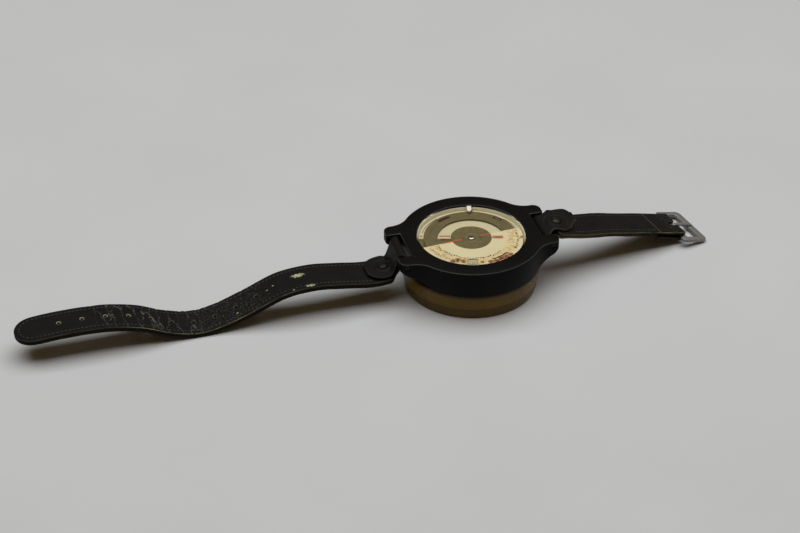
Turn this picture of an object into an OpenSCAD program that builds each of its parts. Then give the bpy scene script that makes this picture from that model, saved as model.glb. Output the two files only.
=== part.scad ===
// Airman's wrist compass: a liquid capsule that turns in a lugged case, on a two-piece leather strap.
// The origin is the middle of the capsule's underside. X runs along the strap towards the buckle.

/* [Case] */
// Outside diameter of the case ring
case_d = 61; // [60:0.5:63]
// Height of the case ring
case_h = 12; // [12:0.5:14]
// Wall of the case round the capsule
case_wall = 3.9; // [3.5:0.1:4.3]
// Thickness of the lip that keeps the capsule down
lip_t = 2; // [1.8:0.1:2.3]
// Width of the lip over the capsule
lip_w = 3.2; // [2.8:0.1:3.8]

/* [Lugs] */
// Distance that the lugs stand out past the ring
lug_out = 4.8; // [4.5:0.1:6]
// Width across a pair of lugs
lug_w = 31; // [29:0.5:32]
// Height of a lug at its tip
lug_tip_h = 4.4; // [4.2:0.1:6]
// Radius of the hollow flare between lug and ring
lug_flare_r = 10; // [8:0.5:12]
// Corner radius of a lug's tip, seen from above
lug_corner_r = 3.4; // [2:0.1:3.6]
// Width of the slot between the lugs
slot_w = 17.6; // [17.6:0.1:18.4]
// Wall left between the slot and the bore
slot_wall = 1.8; // [1.6:0.1:2]
// Diameter of the lug bars
bar_d = 2; // [1.6:0.1:2.2]
// Distance from a lug's tip back to the bar
bar_set = 2.9; // [2.7:0.1:3.1]
// Depth of the bar under the top of the case
bar_drop = 2.3; // [2.3:0.1:2.8]
// Distance of the bar's ends inside the lugs
bar_sunk = 0.8; // [0.4:0.1:1.5]

/* [Capsule] */
// Distance of the bowl's wall inside the outside of the case
bowl_inset = 1.1; // [0.6:0.1:2]
// Distance of the base's edge inside the bowl's wall
base_inset = 0.9; // [0.7:0.1:2]
// Height of the bowl that shows below the case
bowl_drop = 11.8; // [10:0.2:14]
// Height of the foot band round the bottom of the bowl
foot_h = 4.8; // [4:0.1:6]
// Step of the foot band under the bowl's wall
foot_step = 0.5; // [0.3:0.1:0.7]
// Thickness of the bowl's floor
floor_t = 2.5; // [2.2:0.1:3]
// Wall of the bowl's neck inside the case
neck_wall = 2; // [1.8:0.1:2.2]
// Thickness of the window
window_t = 1.2; // [1:0.1:1.3]
// Depth of the window's face under the top of the case
window_sunk = 0.1; // [0:0.05:0.2]
// Thickness of the dial ring's flange
flange_t = 1.2; // [1:0.1:1.3]
// Wall of the dial ring that carries the window
ring_wall = 0.5; // [0.4:0.05:0.6]
// Thickness of the window seal
seal_t = 0.6; // [0.4:0.1:0.8]
// Thickness of the dial plate's rim
dial_t = 0.8; // [0.6:0.1:1]
// Height of the retaining ring above the bottom of the case
keeper_z = 2.2; // [1.5:0.1:3]
// Height of the retaining ring's wire
keeper_h = 1.2; // [0.9:0.1:1.4]
// Depth of the retaining ring in the bowl's groove
keeper_bite = 0.4; // [0.3:0.05:0.6]
// Depth of the retaining ring in the case
keeper_seat = 0.85; // [0.6:0.05:1]
// Length of an index mark, from the window's edge inwards
index_l = 4.2; // [3:0.1:5]
// Width of the far index mark
far_index_w = 2.3; // [1.6:0.1:3]
// Width of the near index mark
near_index_w = 4.4; // [3:0.1:5]
// Turn of the capsule in the case
capsule_turn = -15.6; // [-180:0.1:180]

/* [Card] */
// Gap between the card's edge and the dial ring
card_gap = 0.4; // [0.3:0.05:1]
// Thickness of the card
card_t = 0.5; // [0.4:0.1:0.8]
// Width that the hub disc covers past the hole in the dial
hub_cover = 0.5; // [0.3:0.1:1.5]
// Distance of the open half's edge inside the solid half's
rose_in = 1.8; // [1:0.1:3]
// Width of the ring round the card's open half
rose_w = 6; // [4:0.2:8]
// Turn of the card in the case
card_turn = 5.3; // [-180:0.1:180]
// Diameter of the float under the hub
float_d = 16; // [14:0.1:16.4]
// Depth of the float under the card
float_h = 4; // [3.6:0.1:4.6]
// Length of a magnet
magnet_l = 30; // [24:1:34]
// Side of a magnet's square section
magnet_s = 3; // [2.4:0.1:3.4]
// Spacing of the two magnets
magnet_gap = 9; // [8:0.5:11]
// Diameter of the pivot cap
cap_d = 2.8; // [2:0.1:4]
// Height of the pivot cap
cap_h = 0.4; // [0.2:0.05:0.5]
// Diameter of the jewel cup
jewel_d = 3; // [2.6:0.1:3.6]
// Diameter of the pivot post
post_d = 4.4; // [3.6:0.1:5]
// Diameter of the pivot needle
needle_d = 1.2; // [0.8:0.1:1.4]

/* [Filler screw] */
// Distance of the filler screw from the middle
filler_r = 13; // [10:0.5:18]
// Diameter of the screw's head
filler_head_d = 6; // [5:0.1:7]
// Height of the screw's head
filler_head_h = 0.8; // [0.6:0.1:1]
// Diameter of the screw's shank
filler_d = 3; // [2.5:0.1:3.5]
// Thickness of the screw's washer
filler_washer_t = 0.3; // [0.2:0.05:0.4]

/* [Strap] */
// Width of the strap
strap_w = 17.2; // [15:0.1:17.6]
// Gap between the leather and each lug
neck_play = 0.5; // [0.3:0.05:1]
// Thickness of the outer leather
outer_t = 1.2; // [1:0.05:1.3]
// Thickness of the lining leather
lining_t = 1.15; // [0.9:0.05:1.2]
// Reach of the long strap past its lug bar
long_l = 164; // [150:0.2:168]
// Reach of the short strap from its lug bar to the buckle's bar
short_l = 67.3; // [66.5:0.1:69]
// Distance of the long strap's rivet from its lug bar
long_rivet_out = 6.6; // [6.6:0.1:9]
// Distance of the short strap's rivet from its lug bar
short_rivet_out = 5.2; // [5.2:0.1:7]
// Turn of the long strap about its rivet, seen from above
long_plan = -1; // [-2:0.1:2]
// Turn of the short strap about its rivet, seen from above
short_plan = 10; // [4:0.5:11]
// Radius of the tongue's round end
tongue_r = 8; // [7.6:0.1:8.4]
// Distance from the rivet out to the middle of the tongue's round end
tongue_out = 0.8; // [0.5:0.1:1.6]
// Distance from the lug bar out to the tongue's waist
waist_out = 2.4; // [2:0.1:3]
// Half the width of the tongue's waist
waist_half = 6.4; // [5.8:0.1:7]
// Radius of the tongue's waist
waist_r = 4; // [3:0.1:5]
// Number of holes in the long strap
hole_count = 10; // [1:1:11]
// Diameter of a strap hole
hole_d = 2; // [1.6:0.1:3]
// Spacing of the holes along the leather
hole_pitch = 9.6; // [8:0.1:9.8]
// Distance from the tip to the first hole
hole_inset = 18.4; // [14:0.2:22]
// Diameter of a rivet's cap
rivet_cap_d = 4.8; // [4:0.1:6]
// Height of a rivet's cap
rivet_cap_h = 0.9; // [0.6:0.1:1.2]
// Diameter of a rivet's shank
rivet_d = 2.2; // [1.8:0.1:2.4]
// Diameter of a rivet's washer
rivet_washer_d = 4.4; // [4:0.1:5]
// Thickness of a rivet's washer
rivet_washer_t = 0.5; // [0.4:0.05:0.7]

/* [Buckle] */
// Height of the buckle's bar above the ground
buckle_z = 3.4; // [3.3:0.05:3.8]
// Diameter of the buckle's bar
buckle_bar_d = 1.8; // [1.6:0.05:2]
// Gap between the strap and each side of the buckle
buckle_play = 1.2; // [0.8:0.05:2]
// Length of the buckle past its bar
buckle_l = 10.2; // [9.6:0.1:12]
// Width of the buckle's sides
buckle_side = 2.8; // [2:0.1:3]
// Thickness of the buckle
buckle_t = 1.6; // [1.3:0.05:1.7]
// Outside corner radius of the buckle
buckle_corner_r = 2.6; // [1:0.1:2.8]
// Width of the prong
prong_w = 1.8; // [1.4:0.1:2.4]
// Thickness of the prong
prong_t = 0.9; // [0.7:0.05:1]
// Length of the leather turned back under the strap
turn_back = 14; // [12:0.2:16]

/* [Fits] */
// Gap between parts that turn past each other
run_gap = 0.3; // [0.25:0.01:0.35]
// Radial play of a pin, post or bar in its hole
pin_play = 0.05; // [0.03:0.01:0.08]
// Gap between the leathers where they are sewn
seam_gap = 0.05; // [0.03:0.01:0.1]

/* [Hidden] */
$fn = 72;
cut = 1;

// Heights
case_z = bowl_drop;
top_z = case_z + case_h;
lip_z = top_z - lip_t;
flange_top = lip_z - run_gap;
flange_z = flange_top - flange_t;
window_top = top_z - window_sunk;
window_z = window_top - window_t;
rim_z = flange_z - seal_t;
card_top = window_z - cap_h - run_gap;
card_z = card_top - card_t;
float_z = card_z - float_h;
dial_top = card_z - run_gap;
magnet_z = float_z - magnet_s;
keeper_bottom = case_z + keeper_z;

// Radii
case_r = case_d / 2;
bore_r = case_r - case_wall;
neck_r = bore_r - run_gap;
cavity_r = neck_r - neck_wall;
mouth_r = bore_r - lip_w;
window_r = mouth_r - run_gap;
wall_r = case_r - bowl_inset;
base_r = wall_r - base_inset;
card_r = window_r - ring_wall - card_gap;
rose_r = card_r - rose_in;
dial_hole_r = float_d / 2 + run_gap;
hub_r = dial_hole_r + hub_cover;
seal_w = neck_wall - 2 * pin_play;
keeper_in = neck_r - keeper_bite;
keeper_out = bore_r + keeper_seat;
keeper_split = 8;

// Lugs and bars
lug_reach = case_r + lug_out;
slot_u = bore_r + slot_wall;
bar_u = lug_reach - bar_set;
bar_z = top_z - bar_drop;
bar_r = bar_d / 2;
bar_l = lug_w - 2 * bar_sunk;
flare_u = sqrt(pow(case_r + lug_flare_r, 2) - pow(lug_w / 2 + lug_flare_r, 2));

// Pivot: the needle's point stands in the jewel cup with a little play
jewel_h = 2.6;
jewel_z = card_z - jewel_h;
jewel_cone_h = 1.5;
jewel_mouth_r = jewel_d / 2 - 0.5;
point_play = 0.2;
point_z = jewel_z + jewel_cone_h - point_play;
point_h = 2;
post_foot_r = 4;
post_foot_h = 1;
post_bore_l = 4;
post_top = magnet_z - 2 * run_gap;
float_bore_r = post_d / 2 + run_gap;

// Filler screw
filler_seat_z = filler_head_h + filler_washer_t + 0.2;
filler_inside = 0.7;
filler_slot_w = 0.6;
filler_slot_h = 0.4;

// Leather
loop_r = bar_r + pin_play + lining_t / 2;
lining_top = lining_t + seam_gap;
strap_t = lining_top + outer_t;
neck_w = slot_w - 2 * neck_play;
long_reach = bar_u + long_l;
buckle_u = bar_u + short_l;
long_rivet_u = bar_u + long_rivet_out;
short_rivet_u = bar_u + short_rivet_out;
loop_bend = rivet_washer_d / 2 + 0.4;
tongue_bend = rivet_cap_d / 2 + 0.4;
outer_start = rivet_d / 2 + 0.5;
rivet_seat = 0.1;
long_lift = 0.6;
short_lift = 0.8;
long_curl = 0.5;
short_curl = 3;
route_step = 2;
arc_step = 12;

// Underside of each strap as it lies: distance from its lug bar, then height above the ground
long_lie = [[4.4, 10.8], [13.4, 10.3], [25.4, 12], [38.4, 13.5], [51.4, 12.1], [65.4, 6.3], [77.4, 1.9],
    [88.4, 0], [100.4, 2.4], [113.4, 7.8], [127.4, 10.6], [145.4, 10.9], [169.4, 9]];
short_lie = [[1.4, 20.7], [7.4, 19.3], [14.4, 17.3], [21.4, 15.7], [29.4, 14.1], [39.4, 11.2], [54.4, 6.9],
    [69.4, 2.2]];
long_route = [for (p = long_lie) [bar_u + p[0], p[1]]];
short_route = [for (p = short_lie) [bar_u + p[0], p[1]]];

// Buckle: it leans until its outer edge stands on the ground
fold_r = buckle_bar_d / 2 + pin_play + outer_t / 2;
buckle_tilt = asin(buckle_z / norm([buckle_l, buckle_t / 2])) - atan(buckle_t / 2 / buckle_l);
buckle_w = strap_w + 2 * (buckle_play + buckle_side);
buckle_inner_r = 1;
fold_lead = 8;
notch_l = 4.6;
notch_w = prong_w + 4 * run_gap;
prong_eye_r = buckle_bar_d / 2 + pin_play + prong_t;
prong_short = 1.2;

// Height of a smooth curve through a route's points, and its slope in degrees
function lean(r, i) =
    let (a = max(i - 1, 0), b = min(i + 1, len(r) - 1)) (r[b][1] - r[a][1]) / (r[b][0] - r[a][0]);
function stretch(r, u, i = 0) = i >= len(r) - 2 || u < r[i + 1][0] ? i : stretch(r, u, i + 1);
function height(r, u) =
    let (i = stretch(r, u), span = r[i + 1][0] - r[i][0], t = (u - r[i][0]) / span)
    (2 * t * t * t - 3 * t * t + 1) * r[i][1] + (t * t * t - 2 * t * t + t) * span * lean(r, i)
    + (3 * t * t - 2 * t * t * t) * r[i + 1][1] + (t * t * t - t * t) * span * lean(r, i + 1);
function slope(r, u) = atan((height(r, u + 0.1) - height(r, u - 0.1)) / 0.2);

// Points along a route, and a line of points moved sideways to its left
function along(r, from, to) =
    let (n = ceil(abs(to - from) / route_step))
    [for (k = [0:n]) let (u = from + (to - from) * k / n) [u, height(r, u)]];
function left_of(a, b) = let (v = b - a) [-v[1], v[0]] / norm(v);
function moved(p, d) =
    let (last = len(p) - 1)
    [for (i = [0:last])
        let (a = left_of(p[max(i - 1, 0)], p[max(i, 1)]),
            b = left_of(p[min(i, last - 1)], p[min(i + 1, last)]))
        p[i] + d * (a + b) / (1 + a * b)];
function reversed(p) = [for (i = [len(p) - 1:-1:0]) p[i]];

// Direction from a circle's middle to where the line from a point touches it, on the side asked for
function touch(c, r, p, side) = let (v = p - c) atan2(v[1], v[0]) + side * acos(r / norm(v));
function arc(c, r, from, to) =
    let (n = ceil(abs(to - from) / arc_step))
    [for (k = [0:n]) let (a = from + (to - from) * k / n) c + r * [cos(a), sin(a)]];

// A line of points curled up past a distance, by a height at its end
function curled(p, from, rise) =
    let (span = p[len(p) - 1][0] - from) [for (q = p) q + [0, rise * pow(max(q[0] - from, 0) / span, 2)]];

// The lining's middle line from the strap round the lug bar and back out as the tongue
function loop_line(r, rivet_u, lift, curl) =
    let (c = [bar_u, bar_z], half = lining_t / 2,
        low = moved(along(r, rivet_u - loop_bend, rivet_u), half)[0],
        end_u = rivet_u + tongue_out + tongue_r + cut,
        flat = moved(along(r, rivet_u - tongue_bend, end_u), strap_t + lift + half),
        tongue = curled(flat, rivet_u + tongue_bend, curl),
        start = touch(c, loop_r, low, -1), end = touch(c, loop_r, tongue[0], 1))
    concat([low], arc(c, loop_r, start + 360, end), tongue);

// Places of the holes, a pitch apart along the leather
function hole_u(i) =
    i == 0 ? long_reach - hole_inset
    : let (u = hole_u(i - 1)) u - hole_pitch * cos(slope(long_route, u - hole_pitch / 2));

module band(line, low, high) {
    polygon(concat(moved(line, low), reversed(moved(line, high))));
}

// A side view drawn in distance and height, made as wide as the strap piece
module across(w) {
    rotate([90, 0, 0]) linear_extrude(height = w, center = true) children();
}

// A plan view raised through the whole height of the part
module upright() {
    translate([0, 0, -cut]) linear_extrude(height = top_z + 4 * cut) children();
}

module bar_at(u, z, r, l) {
    translate([u, 0, z]) rotate([90, 0, 0]) cylinder(r = r, h = l, center = true);
}

module turned_at(u, angle) {
    translate([u, 0, 0]) rotate([0, 0, angle]) translate([-u, 0, 0]) children();
}

module tube(r_out, r_in, z, h) {
    rotate_extrude() translate([r_in, z]) square([r_out - r_in, h]);
}

// Case

module lug_plan() {
    half = lug_w / 2;
    hull_u = lug_reach - lug_corner_r;
    touch_at = case_r / (case_r + lug_flare_r) * [flare_u, half + lug_flare_r];
    translate([0, -half]) square([hull_u, lug_w]);
    translate([0, -half + lug_corner_r]) square([lug_reach, lug_w - 2 * lug_corner_r]);
    for (side = [-1, 1]) {
        translate([hull_u, side * (half - lug_corner_r)]) circle(lug_corner_r);
        difference() {
            polygon([for (p = [[slot_u / 2, half - cut], [flare_u, half - cut],
                [flare_u, half + lug_flare_r], touch_at]) [p[0], side * p[1]]]);
            translate([flare_u, side * (half + lug_flare_r)]) circle(lug_flare_r);
        }
    }
}

// Side view of the lugs: they thin towards their tips from below
module lug_side() {
    polygon([[0, case_z], [slot_u, case_z], [lug_reach, top_z - lug_tip_h], [lug_reach, top_z], [0, top_z]]);
}

module lug_pair() {
    intersection() {
        upright() lug_plan();
        across(2 * lug_w + 2 * lug_flare_r) lug_side();
    }
}

module case_ring() {
    color("#17181a") difference() {
        union() {
            translate([0, 0, case_z]) cylinder(d = case_d, h = case_h);
            lug_pair();
            mirror([1, 0, 0]) lug_pair();
        }
        translate([0, 0, case_z - cut]) cylinder(r = bore_r, h = lip_z - case_z + cut);
        cylinder(r = mouth_r, h = top_z + cut);
        tube(keeper_out + pin_play, bore_r - cut, keeper_bottom, keeper_h);
        for (side = [0, 1]) mirror([side, 0, 0]) {
            translate([slot_u, -slot_w / 2, case_z - cut]) cube([lug_reach, slot_w, case_h + 2 * cut]);
            bar_at(bar_u, bar_z, bar_r + pin_play, lug_w + 2 * cut);
        }
    }
}

module retaining_ring() {
    size = [keeper_out - keeper_in, keeper_h - 2 * pin_play];
    color("#8c8c88") rotate([0, 0, 90 + keeper_split / 2]) rotate_extrude(angle = 360 - keeper_split)
        translate([keeper_in, keeper_bottom + pin_play]) square(size);
}

module long_lug_bar() {
    color("#8c8c88") bar_at(-bar_u, bar_z, bar_r, bar_l);
}

module short_lug_bar() {
    color("#8c8c88") bar_at(bar_u, bar_z, bar_r, bar_l);
}

// Capsule

module bowl_half_section() {
    foot_r = wall_r - foot_step;
    shoulder_z = case_z - run_gap;
    polygon(concat(
        [[0, 0]],
        [for (a = [0:15:90]) [base_r + (foot_r - base_r) * sin(a), foot_h * (1 - cos(a))]],
        [[wall_r, foot_h + foot_step], [wall_r, shoulder_z], [neck_r, shoulder_z], [neck_r, rim_z],
            [cavity_r, rim_z], [cavity_r, floor_t], [0, floor_t]]));
}

module capsule_bowl() {
    groove_gap = run_gap - pin_play;
    color("#7a6530", 0.8) difference() {
        rotate_extrude() bowl_half_section();
        tube(neck_r + cut, keeper_in - run_gap, keeper_bottom - groove_gap, keeper_h + 2 * groove_gap);
        translate([filler_r, 0, -cut]) cylinder(d = filler_d + 2 * pin_play, h = floor_t + 2 * cut);
        translate([filler_r, 0, -cut]) cylinder(d = filler_head_d + 2 * run_gap, h = filler_seat_z + cut);
    }
}

module dial_ring() {
    color("#d8cda0") rotate_extrude() polygon([[window_r - ring_wall, flange_z], [neck_r, flange_z],
        [neck_r, flange_top], [window_r, flange_top], [window_r, window_z], [window_r - ring_wall, window_z]]);
}

module window_disc() {
    translate([0, 0, window_z]) cylinder(r = window_r, h = window_t);
}

// The space of an index mark in the window's edge, on the far side or the near side of the capsule
module index_space(side, play) {
    w = (side > 0 ? far_index_w : near_index_w) + 2 * play;
    start = window_r - index_l - play;
    rotate([0, 0, capsule_turn + (side > 0 ? 0 : 180)])
        translate([-w / 2, start, window_z - cut]) cube([w, window_r - start + cut, window_t + 2 * cut]);
}

module index_mark(side) {
    intersection() {
        window_disc();
        index_space(side, 0);
    }
}

module capsule_window() {
    color("#e6ecec", 0.3) difference() {
        window_disc();
        index_space(1, pin_play);
        index_space(-1, pin_play);
    }
}

module far_index_mark() {
    color("#e8e4d4") index_mark(1);
}

module near_index_mark() {
    color("#cfc8b0", 0.6) index_mark(-1);
}

module window_seal() {
    color("#2c2a26") tube(neck_r - pin_play, neck_r - pin_play - seal_w, rim_z, seal_t);
}

module dial_plate() {
    rim_r = cavity_r - pin_play;
    face_r = window_r - ring_wall - pin_play;
    low = flange_z - dial_t;
    color("#d8cda0") rotate_extrude() polygon([[dial_hole_r, low], [rim_r, low], [rim_r, flange_z],
        [face_r, flange_z], [face_r, dial_top], [dial_hole_r, dial_top]]);
}

module pivot_post() {
    color("#a58a4c") difference() {
        union() {
            translate([0, 0, floor_t]) cylinder(r = post_foot_r, h = post_foot_h);
            translate([0, 0, floor_t]) cylinder(d = post_d, h = post_top - floor_t);
        }
        translate([0, 0, post_top - post_bore_l]) cylinder(d = needle_d + 2 * pin_play, h = post_bore_l + cut);
    }
}

module pivot_needle() {
    color("#9a9a98") translate([0, 0, post_top - post_bore_l]) {
        cylinder(d = needle_d, h = point_z - point_h - post_top + post_bore_l);
        translate([0, 0, point_z - point_h - post_top + post_bore_l])
            cylinder(d1 = needle_d, d2 = 0, h = point_h);
    }
}

module filler_screw() {
    head_z = filler_seat_z - filler_washer_t - filler_head_h;
    color("#b39a55") translate([filler_r, 0, head_z]) difference() {
        union() {
            cylinder(d = filler_head_d, h = filler_head_h);
            cylinder(d = filler_d, h = floor_t + filler_inside - head_z);
        }
        translate([-filler_head_d, -filler_slot_w / 2, -cut])
            cube([2 * filler_head_d, filler_slot_w, filler_slot_h + cut]);
    }
}

module filler_washer() {
    color("#3a3632") translate([filler_r, 0, 0])
        tube(filler_head_d / 2, filler_d / 2 + pin_play, filler_seat_z - filler_washer_t, filler_washer_t);
}

// Floating card

module card_plan() {
    circle(hub_r);
    intersection() {
        circle(card_r);
        translate([-card_r, -2 * card_r]) square(2 * card_r);
    }
    difference() {
        circle(rose_r);
        circle(rose_r - rose_w);
    }
}

module compass_card() {
    color("#d8cda0") rotate([0, 0, card_turn]) translate([0, 0, card_z])
        linear_extrude(height = card_t) card_plan();
}

module card_float() {
    color("#6f6640") difference() {
        translate([0, 0, float_z]) cylinder(d = float_d, h = float_h);
        translate([0, 0, float_z - cut]) cylinder(r = float_bore_r, h = jewel_z - float_z + cut);
        translate([0, 0, float_z]) cylinder(d = jewel_d + 2 * pin_play, h = float_h + cut);
    }
}

module pivot_cap() {
    color("#c9c6ba") translate([0, 0, card_top]) cylinder(d = cap_d, h = cap_h);
}

module jewel_cup() {
    color("#9c3c4c") difference() {
        translate([0, 0, jewel_z]) cylinder(d = jewel_d, h = jewel_h);
        translate([0, 0, jewel_z - 0.001]) cylinder(r1 = jewel_mouth_r, r2 = 0, h = jewel_cone_h);
    }
}

module magnet_pair() {
    color("#4a4d50") rotate([0, 0, card_turn]) for (side = [-1, 1])
        translate([0, side * magnet_gap / 2, magnet_z]) translate([-magnet_l / 2, -magnet_s / 2, 0])
            cube([magnet_l, magnet_s, magnet_s]);
}

// Leather

// Plan of the loop and tongue: a neck that fits between the lugs, then a waist and a round end that turn
// with the strap
module tongue_plan(rivet_u, plan) {
    end_u = rivet_u + tongue_out;
    difference() {
        union() {
            translate([slot_u, -neck_w / 2]) square([end_u - slot_u, neck_w]);
            turned_at(bar_u, plan) translate([end_u, 0]) circle(tongue_r);
        }
        turned_at(bar_u, plan) for (side = [-1, 1])
            translate([bar_u + waist_out, side * (waist_half + waist_r)]) circle(waist_r);
    }
}

module loop_and_tongue(r, rivet_u, lift, curl, plan) {
    difference() {
        intersection() {
            across(2 * strap_w) band(loop_line(r, rivet_u, lift, curl), -lining_t / 2, lining_t / 2);
            upright() tongue_plan(rivet_u, plan);
        }
        bar_at(bar_u, bar_z, bar_r + pin_play, 2 * strap_w);
    }
}

// A strap layer from its inner end outwards, square to the bar at that end
module layer(r, start_u, end_u, low, high, w) {
    intersection() {
        across(w) band(along(r, start_u - 2 * cut, end_u), low, high);
        upright() translate([start_u, -strap_w]) square([end_u, 2 * strap_w]);
    }
}

// Things set through the strap at a rivet, square to the leather
module on_rivet(r, rivet_u) {
    translate([rivet_u, 0, height(r, rivet_u)]) rotate([0, -slope(r, rivet_u), 0]) children();
}

module rivet_hole(r, rivet_u) {
    on_rivet(r, rivet_u) translate([0, 0, -strap_t]) cylinder(d = rivet_d + 2 * pin_play, h = 4 * strap_t);
}

module rivet(r, rivet_u, lift) {
    cap_z = strap_t + lift + lining_t + rivet_seat;
    tail_z = -rivet_washer_t - rivet_seat;
    on_rivet(r, rivet_u) {
        translate([0, 0, tail_z]) cylinder(d = rivet_d, h = cap_z - tail_z);
        translate([0, 0, cap_z]) rotate_extrude() polygon(concat([[0, 0]],
            [for (a = [0:15:90]) [rivet_cap_d / 2 * cos(a), rivet_cap_h * sin(a)]]));
    }
}

module rivet_washer(r, rivet_u) {
    on_rivet(r, rivet_u)
        tube(rivet_washer_d / 2, rivet_d / 2 + pin_play, -rivet_washer_t - rivet_seat, rivet_washer_t);
}

module long_plan_view() {
    translate([0, -strap_w / 2]) square([long_reach - strap_w / 2, strap_w]);
    translate([long_reach - strap_w / 2, 0]) circle(d = strap_w);
}

module long_holes() {
    for (i = [0:hole_count - 1]) let (u = hole_u(i))
        translate([u, 0, height(long_route, u)]) rotate([0, -slope(long_route, u), 0])
            cylinder(d = hole_d, h = 4 * strap_t, center = true);
}

module long_layer(start, low, high) {
    turned_at(long_rivet_u, long_plan) difference() {
        intersection() {
            layer(long_route, long_rivet_u - start, long_reach, low, high, strap_w);
            upright() long_plan_view();
        }
        long_holes();
    }
}

module long_strap_outer() {
    color("#1b1b1a") mirror([1, 0, 0]) difference() {
        long_layer(outer_start, lining_top, strap_t);
        rivet_hole(long_route, long_rivet_u);
    }
}

module long_strap_lining() {
    color("#242320") mirror([1, 0, 0]) difference() {
        union() {
            long_layer(loop_bend, 0, lining_t);
            loop_and_tongue(long_route, long_rivet_u, long_lift, long_curl, long_plan);
        }
        rivet_hole(long_route, long_rivet_u);
    }
}

module long_rivet() {
    color("#2b2b2b") mirror([1, 0, 0]) rivet(long_route, long_rivet_u, long_lift);
}

module long_rivet_washer() {
    color("#6c6c6a") mirror([1, 0, 0]) rivet_washer(long_route, long_rivet_u);
}

// The short strap's outer leather goes over the buckle's bar and comes back as the lower layer
function fold_line() =
    let (c = [buckle_u, buckle_z], back_u = buckle_u - turn_back,
        over = moved(along(short_route, short_rivet_u - outer_start - 2 * cut, buckle_u - fold_lead),
            lining_top + outer_t / 2),
        under = moved(along(short_route, buckle_u - fold_lead, back_u), outer_t / 2 - lining_t),
        from = touch(c, fold_r, over[len(over) - 1], -1), to = touch(c, fold_r, under[0], 1))
    concat(over, arc(c, fold_r, from + 360, to), under);

module short_strap_outer() {
    color("#1b1b1a") difference() {
        intersection() {
            turned_at(short_rivet_u, short_plan) difference() {
                across(strap_w) band(fold_line(), -outer_t / 2, outer_t / 2);
                bar_at(buckle_u, buckle_z, buckle_bar_d / 2 + pin_play, 2 * strap_w);
                translate([buckle_u - notch_l, -notch_w / 2, -cut]) cube([2 * notch_l, notch_w, top_z]);
            }
            upright() translate([short_rivet_u - outer_start, -buckle_u]) square(2 * buckle_u);
        }
        rivet_hole(short_route, short_rivet_u);
    }
}

module short_strap_lining() {
    end_u = buckle_u - turn_back - run_gap;
    color("#242320") difference() {
        union() {
            turned_at(short_rivet_u, short_plan)
                layer(short_route, short_rivet_u - loop_bend, end_u, 0, lining_t, strap_w);
            loop_and_tongue(short_route, short_rivet_u, short_lift, short_curl, short_plan);
        }
        rivet_hole(short_route, short_rivet_u);
    }
}

module short_rivet() {
    color("#2b2b2b") rivet(short_route, short_rivet_u, short_lift);
}

module short_rivet_washer() {
    color("#6c6c6a") turned_at(short_rivet_u, short_plan) rivet_washer(short_route, short_rivet_u);
}

// Buckle

// The buckle's own frame: its bar at the origin, its length along X
module on_buckle() {
    turned_at(short_rivet_u, short_plan)
        translate([buckle_u, 0, buckle_z]) rotate([0, buckle_tilt, 0]) children();
}

module round_rect(u0, u1, w, r) {
    translate([u0 + r, -w / 2]) square([u1 - u0 - 2 * r, w]);
    translate([u0, -w / 2 + r]) square([u1 - u0, w - 2 * r]);
    for (u = [u0 + r, u1 - r], y = [-w / 2 + r, w / 2 - r]) translate([u, y]) circle(r);
}

module buckle_frame() {
    inner_w = buckle_w - 2 * buckle_side;
    color("#8a8a88") on_buckle() {
        translate([0, 0, -buckle_t / 2]) linear_extrude(height = buckle_t) difference() {
            round_rect(-buckle_side, buckle_l, buckle_w, buckle_corner_r);
            round_rect(-2 * buckle_side, buckle_l - buckle_side, inner_w, buckle_inner_r);
        }
        bar_at(0, 0, buckle_bar_d / 2, inner_w + buckle_side);
    }
}

module buckle_prong() {
    rest_z = buckle_t / 2 + pin_play;
    tip_u = buckle_l - prong_short;
    color("#8a8a88") on_buckle() difference() {
        union() {
            bar_at(0, 0, prong_eye_r, prong_w);
            across(prong_w) polygon([[0, prong_eye_r - prong_t], [0, prong_eye_r],
                [tip_u, rest_z + prong_t], [tip_u, rest_z]]);
        }
        bar_at(0, 0, buckle_bar_d / 2 + pin_play, 2 * prong_w);
    }
}

case_ring();
retaining_ring();
long_lug_bar();
short_lug_bar();
capsule_bowl();
dial_ring();
capsule_window();
window_seal();
dial_plate();
far_index_mark();
near_index_mark();
pivot_post();
pivot_needle();
filler_screw();
filler_washer();
compass_card();
card_float();
pivot_cap();
jewel_cup();
magnet_pair();
long_strap_outer();
long_strap_lining();
long_rivet();
long_rivet_washer();
short_strap_outer();
short_strap_lining();
short_rivet();
short_rivet_washer();
buckle_frame();
buckle_prong();
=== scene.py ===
import math
import random
from bisect import bisect_right
from math import cos, pi, radians, sin

import bmesh
import bpy
from mathutils import Matrix, Vector, noise


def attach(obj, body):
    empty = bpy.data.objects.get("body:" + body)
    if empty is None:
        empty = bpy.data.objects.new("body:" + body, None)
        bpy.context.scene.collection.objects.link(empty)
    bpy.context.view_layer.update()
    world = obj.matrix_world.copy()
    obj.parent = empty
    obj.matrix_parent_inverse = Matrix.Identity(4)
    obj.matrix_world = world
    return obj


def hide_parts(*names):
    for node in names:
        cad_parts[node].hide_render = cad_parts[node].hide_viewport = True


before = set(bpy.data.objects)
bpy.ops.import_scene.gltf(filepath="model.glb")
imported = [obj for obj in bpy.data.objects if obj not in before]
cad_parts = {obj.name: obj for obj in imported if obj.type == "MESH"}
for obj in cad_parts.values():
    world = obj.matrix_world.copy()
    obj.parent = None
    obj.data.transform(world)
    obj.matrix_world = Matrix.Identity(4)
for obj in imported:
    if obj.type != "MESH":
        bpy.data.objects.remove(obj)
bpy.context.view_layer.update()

# Studio. A matt sheet of pale paper lies on a table under one broad soft light overhead, in a dim warm room.
# The camera stands where the photographer stood.
MM = 0.001


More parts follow.
